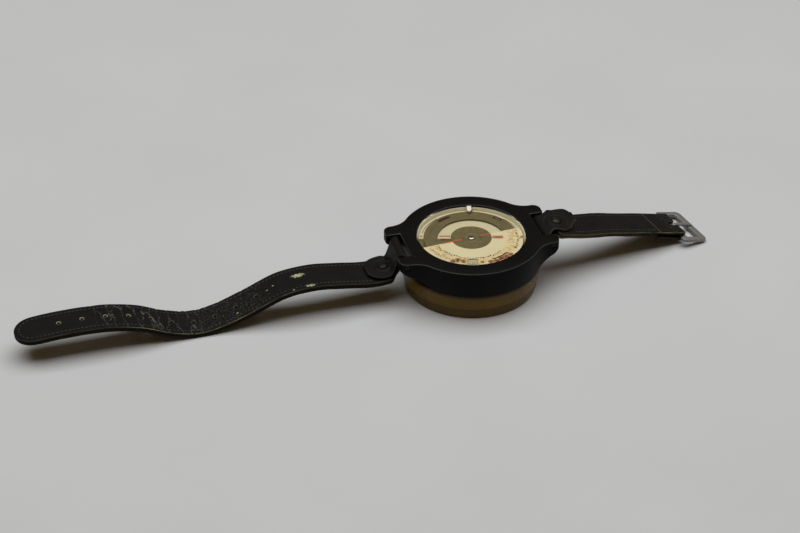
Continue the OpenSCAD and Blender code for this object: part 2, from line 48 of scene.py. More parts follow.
def linear(code):
    """An sRGB hex colour as linear red, green, blue and alpha."""
    parts = [int(code[i:i + 2], 16) / 255 for i in (1, 3, 5)]
    return [c / 12.92 if c <= 0.04045 else ((c + 0.055) / 1.055) ** 2.4 for c in parts] + [1]


def put(tree, kind, inputs=(), give=0, **settings):
    """Adds one shader node with its settings, sets or links its inputs, in order or by key, and gives an output."""
    added = tree.nodes.new("ShaderNode" + kind)
    for key, value in settings.items():
        setattr(added, key, value)
    for key, value in inputs.items() if isinstance(inputs, dict) else enumerate(inputs):
        if isinstance(value, bpy.types.NodeSocket):
            tree.links.new(value, added.inputs[key])
        else:
            added.inputs[key].default_value = value
    return added.outputs[give]


def surface(name, values):
    """A new material: itself, its tree, its shader with constant values set, and Object coordinates."""
    made = bpy.data.materials.new(name)
    made.use_nodes = True
    tree = made.node_tree
    shader = tree.nodes["Principled BSDF"]
    for key, value in values.items():
        shader.inputs[key].default_value = value
    return made, tree, shader, put(tree, "TexCoord", give="Object")


def per(size):
    """Texture scale of a pattern whose features are so many millimetres apart."""
    return 1 / (size * MM)


def coated(tree, shader, colour, *coats):
    """Lays coats over a colour, each by its share and as a hex code or a socket, and gives it to the shader."""
    for share, coat in coats:
        coat = linear(coat) if isinstance(coat, str) else coat
        colour = put(tree, "Mix", {0: share, 6: colour, 7: coat}, 2, data_type="RGBA")
    tree.links.new(colour, shader.inputs["Base Color"])
    return colour


def grained(name, values, colours, patch, grain, roughness, depth):
    """A new material, mottled between two colours, with uneven gloss and a fine raised grain, sizes in mm. Gives its
    colour after what surface gives."""
    made, tree, shader, place = surface(name, values)
    blotch = put(tree, "TexNoise", {"Vector": place, "Scale": per(patch), "Detail": 4})
    tint = coated(tree, shader, linear(colours[0]), (blotch, colours[1]))
    fine = put(tree, "TexNoise", {"Vector": place, "Scale": per(grain), "Detail": 3})
    tree.links.new(put(tree, "MapRange", (fine, 0.3, 0.7, *roughness)), shader.inputs["Roughness"])
    bump = put(tree, "Bump", {"Height": fine, "Strength": 0.6, "Distance": depth * MM})
    tree.links.new(bump, shader.inputs["Normal"])
    return made, tree, shader, place, tint


def placed(bm, name, materials):
    """Makes a bmesh an object of the scene."""
    mesh = bpy.data.meshes.new(name)
    bm.to_mesh(mesh)
    bm.free()
    for finish in materials:
        mesh.materials.append(finish)
    piece = bpy.data.objects.new(name, mesh)
    bpy.context.scene.collection.objects.link(piece)
    return piece


# Paper: pulped and rolled, dead matt, with a faint mottle that keeps the floor from looking computed.
paper = grained("matt_paper", {"Specular IOR Level": 0.1}, ("#bfbfbe", "#c7c7c6"), 90, 2, (0.8, 0.95), 0.02)[0]
bm = bmesh.new()
bmesh.ops.create_grid(bm, x_segments=1, y_segments=1, size=2.5)
floor = placed(bm, "paper_sheet", [paper])

world = bpy.data.worlds.new("dim_room")
bpy.context.scene.world = world
world.use_nodes = True
room = world.node_tree.nodes["Background"]
room.inputs["Color"].default_value = linear("#e0bf8f")
room.inputs["Strength"].default_value = 0.16

soft_light = bpy.data.lights.new("soft_light", "AREA")
soft_light.shape = "RECTANGLE"
soft_light.size = 2.0
soft_light.size_y = 1.25
soft_light.energy = 23.5
soft_light.color = (0.915, 0.955, 1)
lamp = bpy.data.objects.new("soft_light", soft_light)
lamp.location = (0, 0.1, 1.3)
lamp.rotation_euler = (-lamp.location).to_track_quat("-Z", "Y").to_euler()
bpy.context.scene.collection.objects.link(lamp)

lens = bpy.data.cameras.new("camera")
lens.sensor_width = 36
lens.lens = 99
camera = bpy.data.objects.new("camera", lens)
camera.matrix_world = Matrix((
    (0.96151, 0.15107, -0.22953, -0.24702),
    (-0.27475, 0.54060, -0.79515, -0.74615),
    (0.00396, 0.82761, 0.56129, 0.53967),
    (0, 0, 0, 1)))
bpy.context.scene.collection.objects.link(camera)
bpy.context.scene.camera = camera
bpy.context.scene.view_settings.view_transform = "Standard"

# Case ring. One moulding of black phenolic resin: a ring with a lip over the capsule, a groove for the
# retaining ring, and two pairs of lugs that flare out of the wall and thin from below towards their tips.
CASE_R = 30.5
CASE_LOW = 11.8
CASE_TOP = 23.8
CASE_ROUND = 0.4
MOUTH_R = 23.4
LIP_LOW = 21.8
BORE_R = 26.6
GROOVE_R = 27.5
GROOVE_LOW = 14
GROOVE_TOP = 15.2
LUG_REACH = 35.3
LUG_HALF = 15.5
LUG_TIP_H = 4.4
LUG_CORNER = 3.4
LUG_ROOT = 22.5
FLARE_R = 10
SLOT_U = 29.2
SLOT_HALF = 8.8
SLOT_CORNER = 0.8
BAR_U = 32.4
BAR_Z = 21.5
BAR_HOLE_R = 1.05


def picked(parts, kind=bmesh.types.BMVert):
    """Those of an operator's parts that are of one kind."""
    return [part for part in parts if isinstance(part, kind)]


def outward(bm):
    """Turns every face outward."""
    bmesh.ops.recalc_face_normals(bm, faces=bm.faces)


def draw(bm, z, start, *steps):
    """Draws a line at a height. Each step is a point to go straight to, or a centre to go round, the degrees and
    the number of parts. Gives its first and last vertex."""
    first = last = bm.verts.new((*start, z))
    for step in steps:
        if len(step) == 2:
            new = bm.verts.new((*step, z))
            bm.edges.new((last, new))
            last = new
        else:
            centre, degrees, count = step
            made = bmesh.ops.spin(bm, geom=[last], cent=(*centre, z), axis=(0, 0, 1), angle=radians(degrees),
                                  steps=count)
            last = picked(made["geom_last"])[0]
    return first, last


def soften(bm, width, segments=3, least=35, below=True):
    """Rounds edges sharper than so many degrees, those between two faces that look down only if asked."""
    bm.normal_update()
    sharp = [e for e in bm.edges if e.is_manifold and e.calc_face_angle() > radians(least)
             and (below or max(f.normal.z for f in e.link_faces) > -0.05)]
    bmesh.ops.bevel(bm, geom=sharp, offset=width, offset_type="OFFSET", affect="EDGES", segments=segments,
                    profile=0.5, material=-1, clamp_overlap=False)


def rod(bm, radius, length, where, sides=24):
    """Adds a round bar by a matrix that takes the Z axis to its own."""
    bmesh.ops.create_cone(bm, cap_ends=True, segments=sides, radius1=radius, radius2=radius, depth=length,
                          matrix=where)


def bored(bm, holes):
    """Drills round holes, each given as a rod."""
    tool = bmesh.new()
    for hole in holes:
        rod(tool, *hole)
    work, drill = placed(bm.copy(), "work", []), placed(tool, "drill", [])
    cut = work.modifiers.new("drill", "BOOLEAN")
    cut.object = drill
    bpy.context.view_layer.update()
    result = bpy.data.meshes.new_from_object(work.evaluated_get(bpy.context.evaluated_depsgraph_get()))
    bm.clear()
    bm.from_mesh(result)
    for spare in (work.data, drill.data, result):
        bpy.data.meshes.remove(spare)


def show(bm, name, body, materials, nodes=(), smooth=40):
    """Makes a bmesh in mm a finished piece that rides on its body and stands for its CAD nodes."""
    bmesh.ops.scale(bm, vec=(MM, MM, MM), verts=bm.verts)
    for face in bm.faces:
        face.smooth = True
    piece = placed(bm, name, materials)
    piece.data.set_sharp_from_angle(angle=radians(smooth))
    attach(piece, body)
    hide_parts(*nodes)


# Phenolic resin: pressed in a polished mould, so satin black with a soft sheen, fine wipe marks and a few pale
# nicks from wear.
resin, tree, skin, place, base = grained("pressed_phenolic_resin", {"IOR": 1.58, "Specular IOR Level": 0.045},
                                         ("#0a0a0a", "#121212"), 14, 0.7, (0.36, 0.5), 0.012)
speck = put(tree, "TexNoise", {"Vector": place, "Scale": per(1.3), "Detail": 2, "Roughness": 0.7})
coated(tree, skin, base, (put(tree, "MapRange", (speck, 0.73, 0.78, 0, 0.5)), "#8f8f88"))
# Rubbed resin: the same moulding where sleeves and hands have dulled its upper edges to grey; the grey is also a
# painted highlight, the light line that these rounded edges catch.
worn_highlit_edge_resin = grained("phenolic_resin_worn_edge_painted_highlight", {"IOR": 1.58, "Specular IOR Level": 0.3}, ("#181817", "#3e3d3a"),
                       3, 0.5, (0.35, 0.5), 0.012)[0]

flare_turn = math.degrees(math.asin((LUG_HALF + FLARE_R) / (CASE_R + FLARE_R)))
flare_u = (CASE_R + FLARE_R) * cos(radians(flare_turn))
corner_u = LUG_REACH - LUG_CORNER
bm = bmesh.new()
draw(bm, CASE_TOP, (0, CASE_R), ((0, 0), flare_turn - 90, 18), ((flare_u, LUG_HALF + FLARE_R), 90 - flare_turn, 12),
     (corner_u, LUG_HALF), ((corner_u, LUG_HALF - LUG_CORNER), -90, 8), (LUG_REACH, SLOT_HALF + SLOT_CORNER),
     ((LUG_REACH - SLOT_CORNER, SLOT_HALF + SLOT_CORNER), -90, 4), (SLOT_U, SLOT_HALF), (SLOT_U, 0))
for axis in "YX":
    bmesh.ops.mirror(bm, geom=bm.verts[:] + bm.edges[:], matrix=Matrix(), merge_dist=1e-3, axis=axis)
for cut in (-SLOT_U, SLOT_U):
    bmesh.ops.bisect_plane(bm, geom=bm.verts[:] + bm.edges[:], dist=1e-4, plane_co=(cut, 0, 0), plane_no=(1, 0, 0))
outline = bm.edges[:]
at_top = Matrix.Translation((0, 0, CASE_TOP))
mouth = bmesh.ops.create_circle(bm, segments=96, radius=MOUTH_R, matrix=at_top)["verts"]
loop = [e for e in bm.edges if e.verts[0] in mouth and e.verts[1] in mouth]
bmesh.ops.triangle_fill(bm, edges=outline + loop, use_beauty=True, normal=(0, 0, 1))
made = bmesh.ops.extrude_edge_only(bm, edges=outline)["geom"]
low = picked(made)
underside = picked(made, bmesh.types.BMEdge)
for vert in low:
    out = max(abs(vert.co.x) - LUG_ROOT, 0) / (LUG_REACH - LUG_ROOT)
    vert.co.z = CASE_LOW + out * (CASE_TOP - LUG_TIP_H - CASE_LOW)
knees = [v for v in low if abs(abs(v.co.x) - SLOT_U) < 1e-3 and v.co.y]
for x in (-1, 1):
    for y in (-1, 1):
        corner = sorted((v for v in knees if v.co.x * x > 0 and v.co.y * y > 1), key=lambda v: abs(v.co.y))
        underside.append(bm.edges.new((corner[0], corner[-1])))
for radius, z in ((MOUTH_R, LIP_LOW), (BORE_R, LIP_LOW), (BORE_R, GROOVE_TOP), (GROOVE_R, GROOVE_TOP),
                  (GROOVE_R, GROOVE_LOW), (BORE_R, GROOVE_LOW), (BORE_R, CASE_LOW)):
    made = bmesh.ops.extrude_edge_only(bm, edges=loop)["geom"]
    loop = picked(made, bmesh.types.BMEdge)
    for vert in picked(made):
        vert.co = (vert.co.xy.normalized() * radius).to_3d() + Vector((0, 0, z))
bmesh.ops.triangle_fill(bm, edges=underside + loop, use_beauty=True, normal=(0, 0, -1))
outward(bm)
across = Matrix.Rotation(pi / 2, 4, "X")
bored(bm, [(BAR_HOLE_R, 4 * LUG_HALF, Matrix.Translation((side * BAR_U, 0, BAR_Z)) @ across) for side in (-1, 1)])
soften(bm, CASE_ROUND, below=False)
bm.normal_update()
# Painted highlight with wear: the rounded upper faces get the grey edge on the near side and the ends only, not
# along the far side.
for face in bm.faces:
    if face.calc_center_median().z > CASE_TOP - CASE_ROUND and 0.2 < face.normal.z < 0.9 and face.normal.y < 0.2:
        face.material_index = 1
show(bm, "case_body", "case", [resin, worn_highlit_edge_resin], ["case_ring"])


# Retaining ring and lug bars. Split spring wire in the case's groove keeps the capsule up under the lip, and
# two drawn steel pins pressed through the lugs carry the leather loops.
def paint(finish, *names):
    """Gives a material to CAD nodes that show as they are."""
    for name in names:
        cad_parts[name].data.materials.clear()
        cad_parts[name].data.materials.append(finish)


# Drawn steel: bright grey with fine draw lines, dulled by a thin film of oxide.
steel = grained("drawn_steel", {"Metallic": 1}, ("#6f6e6a", "#8f8d87"), 3, 0.3, (0.3, 0.48), 0.01)[0]
paint(steel, "retaining_ring")
# Blued steel: heated and oiled, a dull blue-black that hardly shows in the lugs.
blued = grained("blued_steel", {"Metallic": 0.6}, ("#111213", "#1e1f21"), 3, 0.3, (0.45, 0.6), 0.01)[0]
paint(blued, "long_lug_bar", "short_lug_bar")

# Capsule bowl. A turned cup of clear acrylic that has gone amber; its neck stands in the case, its wall shows
# below it, and a stepped foot runs round the bottom. The filler screw goes through its floor.
BOWL_PROFILE = ((0, 0), (27.9, 0), (28.3, 0.05), (28.55, 0.25), (28.68, 0.7), (28.8, 1.6), (28.87, 2.8), (28.9, 4.2),
                (28.9, 4.7), (28.95, 4.86), (29.15, 4.96), (29.32, 5.12), (29.4, 5.45), (29.4, 11.1), (29.3, 11.4),
                (29.0, 11.5), (26.3, 11.5), (26.3, 13.75), (25.6, 13.75), (25.6, 15.45), (26.3, 15.45), (26.3, 19.7),
                (24.3, 19.7), (24.3, 2.5), (0, 2.5))
FILLER_X = 13
FILLER_HOLE = (1.55, 8, Matrix.Translation((FILLER_X, 0, 1)))
FILLER_SEAT = (3.3, 2.6, Matrix.Translation((FILLER_X, 0, 0)))


def about_z(degrees):
    """A turn about the Z axis."""
    return Matrix.Rotation(radians(degrees), 4, "Z")


def sweep(bm, line, start, degrees, steps, closed=False, merge=False):
    """Sweeps a line of radius and height points about Z."""
    verts = [bm.verts.new(about_z(start) @ Vector((r, 0, z))) for r, z in line]
    edges = [bm.edges.new(pair) for pair in zip(verts, verts[1:])]
    if closed:
        edges.append(bm.edges.new((verts[-1], verts[0])))
    bmesh.ops.spin(bm, geom=verts + edges, cent=(0, 0, 0), axis=(0, 0, 1), angle=radians(degrees), steps=steps,
                   use_merge=merge)


def turned(profile, steps, start=0):
    """A bmesh turned from radius and height points, closed on itself or on the axis."""
    bm = bmesh.new()
    sweep(bm, profile, start, 360, steps, profile[0][0] and profile[-1][0], True)
    bmesh.ops.remove_doubles(bm, verts=bm.verts, dist=1e-4)
    outward(bm)
    return bm


# Aged acrylic: cast, then turned and polished. Light soaks in and comes back amber, darker in the foot, with a few
# trapped specks. The dark band just under the case is painted shade, where the case overhangs the wall.
acrylic, tree, skin, place, base = grained(
    "aged_amber_acrylic", {"IOR": 1.49, "Specular IOR Level": 0.2, "Subsurface Weight": 0.6,
                           "Subsurface Radius": (1.0, 0.62, 0.16), "Subsurface Scale": 4 * MM},
    ("#57450d", "#71591a"), 9, 0.9, (0.16, 0.3), 0.008)
height = put(tree, "SeparateXYZ", (place,), 2)
foot = put(tree, "MapRange", (height, 4.6 * MM, 5.4 * MM, 0.8, 0), interpolation_type="SMOOTHSTEP")
# Painted shade: a dark brown band at the top of the wall, under the case's overhang.
shade = put(tree, "MapRange", (height, 9.6 * MM, 11.0 * MM, 0, 0.85), interpolation_type="SMOOTHSTEP")
speck = put(tree, "TexNoise", {"Vector": place, "Scale": per(1.1), "Detail": 1})
speck = put(tree, "MapRange", (speck, 0.79, 0.82, 0, 0.6))
coated(tree, skin, base, (foot, "#503d18"), (shade, "#3a2410"), (speck, "#cfc8a4"))
bm = turned(BOWL_PROFILE, 120)
bored(bm, [FILLER_HOLE, FILLER_SEAT])
show(bm, "amber_bowl", "capsule", [acrylic], ["capsule_bowl"], smooth=30)

# Pieces inside the capsule. Brass post and filler screw, a hardened needle, rubber seal and washer, the card's
# float, jewel cup and magnets: turned, pressed and ground parts that the bowl and dial close in.
paint(steel, "pivot_needle")
# Turned brass: warm, with the lathe's fine rings dulled by age.
brass = grained("turned_brass", {"Metallic": 1}, ("#8c6f35", "#ad9150"), 4, 0.35, (0.28, 0.42), 0.01)[0]
paint(brass, "pivot_post", "filler_screw")
# Moulded rubber: matt near-black with a dusty bloom.
rubber = grained("moulded_rubber", {"Specular IOR Level": 0.3}, ("#23211e", "#35322d"), 2.5, 0.4, (0.7, 0.9),
                 0.02)[0]
paint(rubber, "window_seal", "filler_washer")
# Ground magnet steel: dark grey with short grinding marks.
magnet = grained("ground_magnet_steel", {"Metallic": 1}, ("#3c3f42", "#55585b"), 5, 0.4, (0.35, 0.55), 0.015)[0]
paint(magnet, "magnet_pair")
# Lacquered float: thin drawn metal under olive paint.
lacquer = grained("olive_lacquer", {"IOR": 1.5}, ("#645b38", "#766c47"), 6, 0.5, (0.4, 0.55), 0.01)[0]
paint(lacquer, "card_float")
# Ruby: a clear red ground stone, polished in its cup.
ruby = grained("polished_ruby", {"IOR": 1.76, "Transmission Weight": 0.6}, ("#8a1c33", "#a8324a"), 1.5, 0.5,
               (0.04, 0.1), 0.002)[0]
paint(ruby, "jewel_cup")

# Dial ring and dial plate. A moulded cream ring carries the window, and under it lies the printed dial: one
# half cream, the other olive, with fine black arcs near the rim, all in matt enamel.
CAPSULE_TURN = -15.6
RING_PROFILE = ((22.6, 20.3), (26.3, 20.3), (26.3, 21.5), (23.1, 21.5), (23.1, 22.5), (22.98, 22.5), (22.6, 21))
DIAL_TOP = 21.0
DIAL_PROFILE = ((8.3, 19.5), (24.25, 19.5), (24.25, 20.3), (22.55, 20.3), (22.55, DIAL_TOP), (8.3, DIAL_TOP))
ARC_IN = 21.3
ARC_OUT = 21.55
PRINT = 0.04
RED_WIDTH = 0.85
RED_Z = 22.47


def strip(bm, finish, start, end, width, angle, z):
    """A printed bar from one radius to another along an angle, as a film of enamel on a face."""
    turn = about_z(angle) @ Matrix.Translation(((start + end) / 2, 0, z))
    made = bmesh.ops.create_cube(bm, size=1, matrix=turn @ Matrix.Diagonal((end - start, width, PRINT, 1)))
    for face in {f for v in made["verts"] for f in v.link_faces}:
        face.material_index = finish


def arc_strip(bm, finish, inner, outer, start, degrees, z):
    """A printed arc between two radii, as a film of enamel on a face."""
    low, high = z - PRINT / 2, z + PRINT / 2
    corners = [bm.verts.new(about_z(start) @ Vector((r, 0, h))) for r, h in
               ((inner, low), (outer, low), (outer, high), (inner, high))]
    older = set(bm.faces)
    bmesh.ops.spin(bm, geom=[bm.faces.new(corners)], cent=(0, 0, 0), axis=(0, 0, 1), angle=radians(degrees),
                   steps=max(2, round(degrees / 3)))
    for face in set(bm.faces) - older:
        face.material_index = finish


# Moulded urea: matt cream, yellowed unevenly.
PLASTIC = {"IOR": 1.5, "Specular IOR Level": 0.3}
urea = grained("moulded_cream_urea", PLASTIC, ("#d9d2b6", "#e7e1c8"), 5, 0.5, (0.55, 0.7), 0.01)[0]
bm = turned(RING_PROFILE, 120)
soften(bm, 0.04, 2)
show(bm, "cream_dial_ring", "capsule", [urea], ["dial_ring"])

# Enamel: sprayed and baked, matt, faded in patches; cream, olive, red and black from separate screens.
cream, olive, red, black = (
    grained(name, PLASTIC, colours, patch, grain, (0.5, 0.65), 0.006)[0] for name, colours, patch, grain in (
        ("cream_enamel", ("#c3b998", "#cfc5a4"), 6, 0.4), ("olive_enamel", ("#4b432a", "#695e3a"), 1.8, 0.4),
        ("red_enamel", ("#ac472d", "#c75a3e"), 1.2, 0.3), ("black_enamel", ("#221d14", "#463c2a"), 1.0, 0.3)))
bm = turned(DIAL_PROFILE, 120, CAPSULE_TURN)
for face in bm.faces:
    middle = about_z(-CAPSULE_TURN) @ face.calc_center_median()
    face.material_index = 0 if middle.y > 0 else 1
for start, degrees in ((20, 28), (132, 36)):
    arc_strip(bm, 2, ARC_IN, ARC_OUT, CAPSULE_TURN + start, degrees, DIAL_TOP + PRINT / 2)
outward(bm)
show(bm, "printed_dial", "capsule", [cream, olive, black], ["dial_plate"])

# The red cross line is screened on the underside of the window, so it lies over the card.
bm = bmesh.new()
for angle in (CAPSULE_TURN, CAPSULE_TURN + 180):
    for start, end in ((9.0, 13.6), (21.0, 22.4)):
        strip(bm, 0, start, end, RED_WIDTH, angle, RED_Z)
show(bm, "red_cross_line", "capsule", [red])

# Compass card. A thin disc of sheet metal, enamelled: a hub and an open half ring in olive, a solid half in
# cream. Its luminous figures have cracked and bled brown into the cream.
CARD_TURN = 5.3
CARD_TOP = 21.8
CARD_T = 0.5
CARD_PRINT = CARD_TOP + PRINT / 2
HUB_R = 8.8
CARD_R = 22.2
ROSE_IN = 14.4
ROSE_OUT = 20.4
HUB_LIFT = ((0, 0.05), (1.6, 0.05), (2.3, 0.2), (2.9, 0.46), (3.3, 0.5), (3.7, 0.42), (4.1, 0.08), (4.6, 0),
            (HUB_R, 0))
# Rows of worn marks, each its first and last degree and its radius, and crusts of old paint, each its first
# degree, its degrees and its two radii.
MARKS = ((122, 152, 17.7), (184, 236, 15.6), (190, 232, 18.8), (238, 300, 15.8), (318, 356, 19.8))
CRUSTS = ((98, 19, 17.7, 19.3), (24.5, 12.5, 18.3, 18.7), (24.5, 12.5, 19.3, 19.6), (24, 2.5, 18.3, 19.6),
          (35, 2.5, 18.3, 19.6), (276, 26, 18.3, 18.9))

bm = bmesh.new()
sweep(bm, [(r, CARD_TOP + lift) for r, lift in HUB_LIFT], 0, 360, 96)
sweep(bm, [(r, CARD_TOP) for r in (HUB_R, 12, 15.4, 18.6, CARD_R)], 180, 180, 48)
sweep(bm, [(r, CARD_TOP) for r in (ROSE_IN, 17.4, ROSE_OUT)], 0, 180, 48)
bmesh.ops.remove_doubles(bm, verts=bm.verts, dist=1e-3)
for vert in picked(bmesh.ops.extrude_face_region(bm, geom=bm.faces[:])["geom"]):
    vert.co.z = CARD_TOP - CARD_T
outward(bm)
for face in bm.faces:
    middle = face.calc_center_median()
    face.material_index = 1 if middle.xy.length < HUB_R or middle.y > 0 else 0
strip(bm, 2, 3.9, 8.5, 0.75, 0, CARD_PRINT)
strip(bm, 2, 4.6, 14, 0.75, 180, CARD_PRINT)
random.seed(39)
for first, last, radius in MARKS:
    for angle in range(first, last, 4):
        start = radius + random.uniform(-0.4, 0.4)
        strip(bm, 3, start, start + random.uniform(0.4, 0.9), random.uniform(0.35, 0.7), angle, CARD_PRINT)
for start, degrees, inner, outer in CRUSTS:
    arc_strip(bm, 4, inner, outer, start, degrees, CARD_PRINT)
outward(bm)
bmesh.ops.rotate(bm, cent=(0, 0, 0), matrix=about_z(CARD_TURN), verts=bm.verts)
# Stained enamel: the same cream, but crazed and ochre where the luminous ring was, with brown bleeds at the rim,
# each a place and a reach.
STAINS = ((-8.5, -16.4, 2.6), (-12.9, -15.2, 2.2), (-1.2, -19, 1.6), (2.6, -19.8, 2.4), (5, -19.6, 3.2),
          (7.6, -18.8, 3.6), (10, -17.9, 3.4), (12, -16.8, 2.6), (15.6, -12.3, 1.1), (18.5, -7.4, 1.0),
          (-15.6, -9.6, 0.8), (19.6, -2, 0.9), (-10.6, -14.9, 2.8))
stained, tree, skin, place, base = grained("stained_cream_enamel", PLASTIC, ("#d0c4a0", "#dbd0ac"), 6, 0.4,
                                           (0.45, 0.65), 0.008)
flat = put(tree, "VectorMath", (place, (1, 1, 0)), operation="MULTIPLY")
radius = put(tree, "VectorMath", (flat,), "Value", operation="LENGTH")
inside = put(tree, "MapRange", (radius, 15.0 * MM, 16.4 * MM))
outside = put(tree, "MapRange", (radius, 20.0 * MM, 21.0 * MM, 1, 0))
band = put(tree, "Math", (inside, outside), operation="MULTIPLY")
craze = put(tree, "TexNoise", {"Vector": flat, "Scale": per(1.7), "Detail": 5, "Roughness": 0.65})
ochre = put(tree, "Math", (put(tree, "MapRange", (craze, 0.42, 0.62, 0, 0.8)), band), operation="MULTIPLY")
soak = put(tree, "TexNoise", {"Vector": flat, "Scale": per(1.2), "Detail": 4, "Roughness": 0.7})
spread = None
for x, y, size in STAINS:
    gap = put(tree, "VectorMath", (flat, (x * MM, y * MM, 0)), "Value", operation="DISTANCE")
    near = put(tree, "MapRange", (gap, 0, size * MM, 0.5, 0))
    spread = near if spread is None else put(tree, "Math", (spread, near), operation="MAXIMUM")
soak = put(tree, "Math", (spread, soak), operation="ADD")
brown = put(tree, "MapRange", (soak, 0.66, 0.8, 0, 0.85))
dark = put(tree, "MapRange", (soak, 0.82, 0.92, 0, 0.9))
dots = put(tree, "TexNoise", {"Vector": flat, "Scale": per(0.8), "Detail": 2})
dots = put(tree, "Math", (put(tree, "MapRange", (dots, 0.66, 0.7, 0, 0.85)), band), operation="MULTIPLY")
coated(tree, skin, base, (ochre, "#c39d49"), (brown, "#8c4e0d"), (dark, "#381708"), (dots, "#382a15"))
# Spent luminous paint: a crusty dark brown deposit.
crust = grained("spent_luminous_paint", {"Specular IOR Level": 0.2}, ("#120804", "#3d1e0d"), 0.9, 0.3, (0.7, 0.9),
                0.05)[0]
show(bm, "floating_card", "card", [stained, olive, red, black, crust], ["compass_card"])

# Pivot cap. A turned brass button, nickelled and polished, pressed into the card over the jewel.
CAP_PROFILE = ((0, 21.8), (1.4, 21.8), (1.4, 21.95), (1.25, 22.08), (0.8, 22.17), (0, 22.2))
# Nickel plate: bright and smooth, faintly warm.
nickel = grained("polished_nickel_plate", {"Metallic": 1}, ("#b5b3ac", "#cfcdc6"), 1, 0.2, (0.08, 0.16), 0.002)[0]
show(turned(CAP_PROFILE, 32), "pivot_button", "card", [nickel], ["pivot_cap"], smooth=60)

# Window and index marks. A clear acrylic disc is cemented on the dial ring, with a white pip let into its edge
# on the far side and a clear ribbed one on the near side for setting a course.
INDEX_LOW = 22.55
INDEX_H = 1.1
INDEX_OUT = 22.95
INDEX_ROOT = 20.8
INDEX_ARCH = 2.2
INDEX_SHIFT = -0.3
BLOCK_SIZE = (4.3, 3.9, 0.9, 1)
BLOCK_Y = -20.9
RIB_R = 0.22


def thicken(bm, height, edges=None):
    """Fills a drawn outline and raises it to a solid."""
    bmesh.ops.triangle_fill(bm, edges=edges or bm.edges[:], use_beauty=True, normal=(0, 0, 1))
    made = bmesh.ops.extrude_face_region(bm, geom=bm.faces[:])["geom"]
    bmesh.ops.translate(bm, vec=(0, 0, height), verts=picked(made))
    outward(bm)


# Polished acrylic: clear, with a faint yellow cast. Lamp light and light from the dial pass straight through.
pane, tree, skin, place = surface("polished_clear_acrylic", {
    "Base Color": linear("#fbf9f0"), "IOR": 1.15, "Transmission Weight": 1, "Roughness": 0.02})
path = put(tree, "LightPath").node
clear = put(tree, "Math", (path.outputs["Is Shadow Ray"], path.outputs["Is Diffuse Ray"]), operation="MAXIMUM")
pick = put(tree, "MixShader", (clear, skin.outputs[0], put(tree, "BsdfTransparent")))
tree.links.new(pick, tree.nodes["Material Output"].inputs["Surface"])
paint(pane, "capsule_window")
# Luminous white: a chalky filled lacquer, dull and a little yellow.
chalk = grained("chalk_white_lacquer", {"Specular IOR Level": 0.3}, ("#ded9c6", "#f0ede2"), 1, 0.3, (0.55, 0.75),
                0.02)[0]
turn = about_z(CAPSULE_TURN)
bm = bmesh.new()
arch = [(cos(pi * k / 12) + INDEX_SHIFT, INDEX_ROOT - INDEX_ARCH * sin(pi * k / 12))
        for k in range(13)]
first, last = draw(bm, INDEX_LOW, (1 + INDEX_SHIFT, INDEX_OUT), *arch, (INDEX_SHIFT - 1, INDEX_OUT))
bm.edges.new((last, first))
thicken(bm, INDEX_H)
soften(bm, 0.2, 2, 60)
bmesh.ops.transform(bm, matrix=turn, verts=bm.verts)
show(bm, "white_index", "capsule", [chalk], ["far_index_mark"])
# Frosted acrylic: the same plastic, left from the mould with a fine ribbed face.
frost = grained("ribbed_clear_acrylic", {"IOR": 1.15, "Transmission Weight": 0.6}, ("#d2c9ab", "#e8e0c4"), 2, 0.4,
                (0.08, 0.16), 0.01)[0]
bm = bmesh.new()
block = turn @ Matrix.Translation((0, BLOCK_Y, 23.0)) @ Matrix.Diagonal(BLOCK_SIZE)
bmesh.ops.create_cube(bm, size=1, matrix=block)
for rib in (-1.8, -0.9, 0, 0.9, 1.8):
    rod(bm, RIB_R, 3.8, turn @ Matrix.Translation((rib, BLOCK_Y, 23.44)) @ across, 8)
show(bm, "clear_index", "capsule", [frost], ["near_index_mark"])

# Long strap. Two plies of black cowhide, skived, glued and sewn round the edge, with punched holes. The lining
# goes on past the sewing, loops round the lug bar and comes back on top as a tongue, closed by a rivet.
STRAP_HALF = 8.6
NECK_HALF = 8.3
OUTER_T = 1.2
LINING_T = 1.15
LINING_TOP = 1.2
STRAP_T = 2.4
EDGE_ROUND = 0.32
LOOP_R = 1.625
LOOP_BEND = 2.6
TONGUE_BEND = 2.8
TONGUE_R = 8
TONGUE_OUT = 0.8
WAIST_OUT = 2.4
WAIST_HALF = 6.4
WAIST_R = 4
OUTER_START = 1.6
LONG_RIVET_U = 39
LONG_REACH = 196.4
LONG_LIFT = 0.6
LONG_CURL = 0.5
LONG_PLAN = -1
TROUGH_OUT = 88.4
CREST_OUT = 127.4
# Underside of the long strap as it lies: distance past the lug bar, then height above the table.
LONG_LIE = ((4.4, 10.8), (13.4, 10.3), (25.4, 12), (38.4, 13.5), (51.4, 12.1), (65.4, 6.3), (77.4, 1.9),
            (TROUGH_OUT, 0), (100.4, 2.4), (113.4, 7.8), (CREST_OUT, 10.6), (145.4, 10.9), (169.4, 9))
HOLE_COUNT = 10
HOLE_R = 0.7
HOLE_RIM = 1.5 * HOLE_R
HOLE_INSET = 18.4
HOLE_PITCH = 9.6
STITCH_IN = 2.2
STITCH_PITCH = 1.7
STITCH_START = 9
STITCH_SINK = 0.06
STITCH_SLANT = 0.06
SEAM_HALF = STRAP_HALF - STITCH_IN
GROOVE_DEPTH = 0.13
CREASE_WIDE = 0.45
ROWS = (-7.1, -6.7, -6.3, -5, -3.2, -1.4, 0.5, 2.3, 4.1, 5.3, 6.3, 6.7, 7.1)


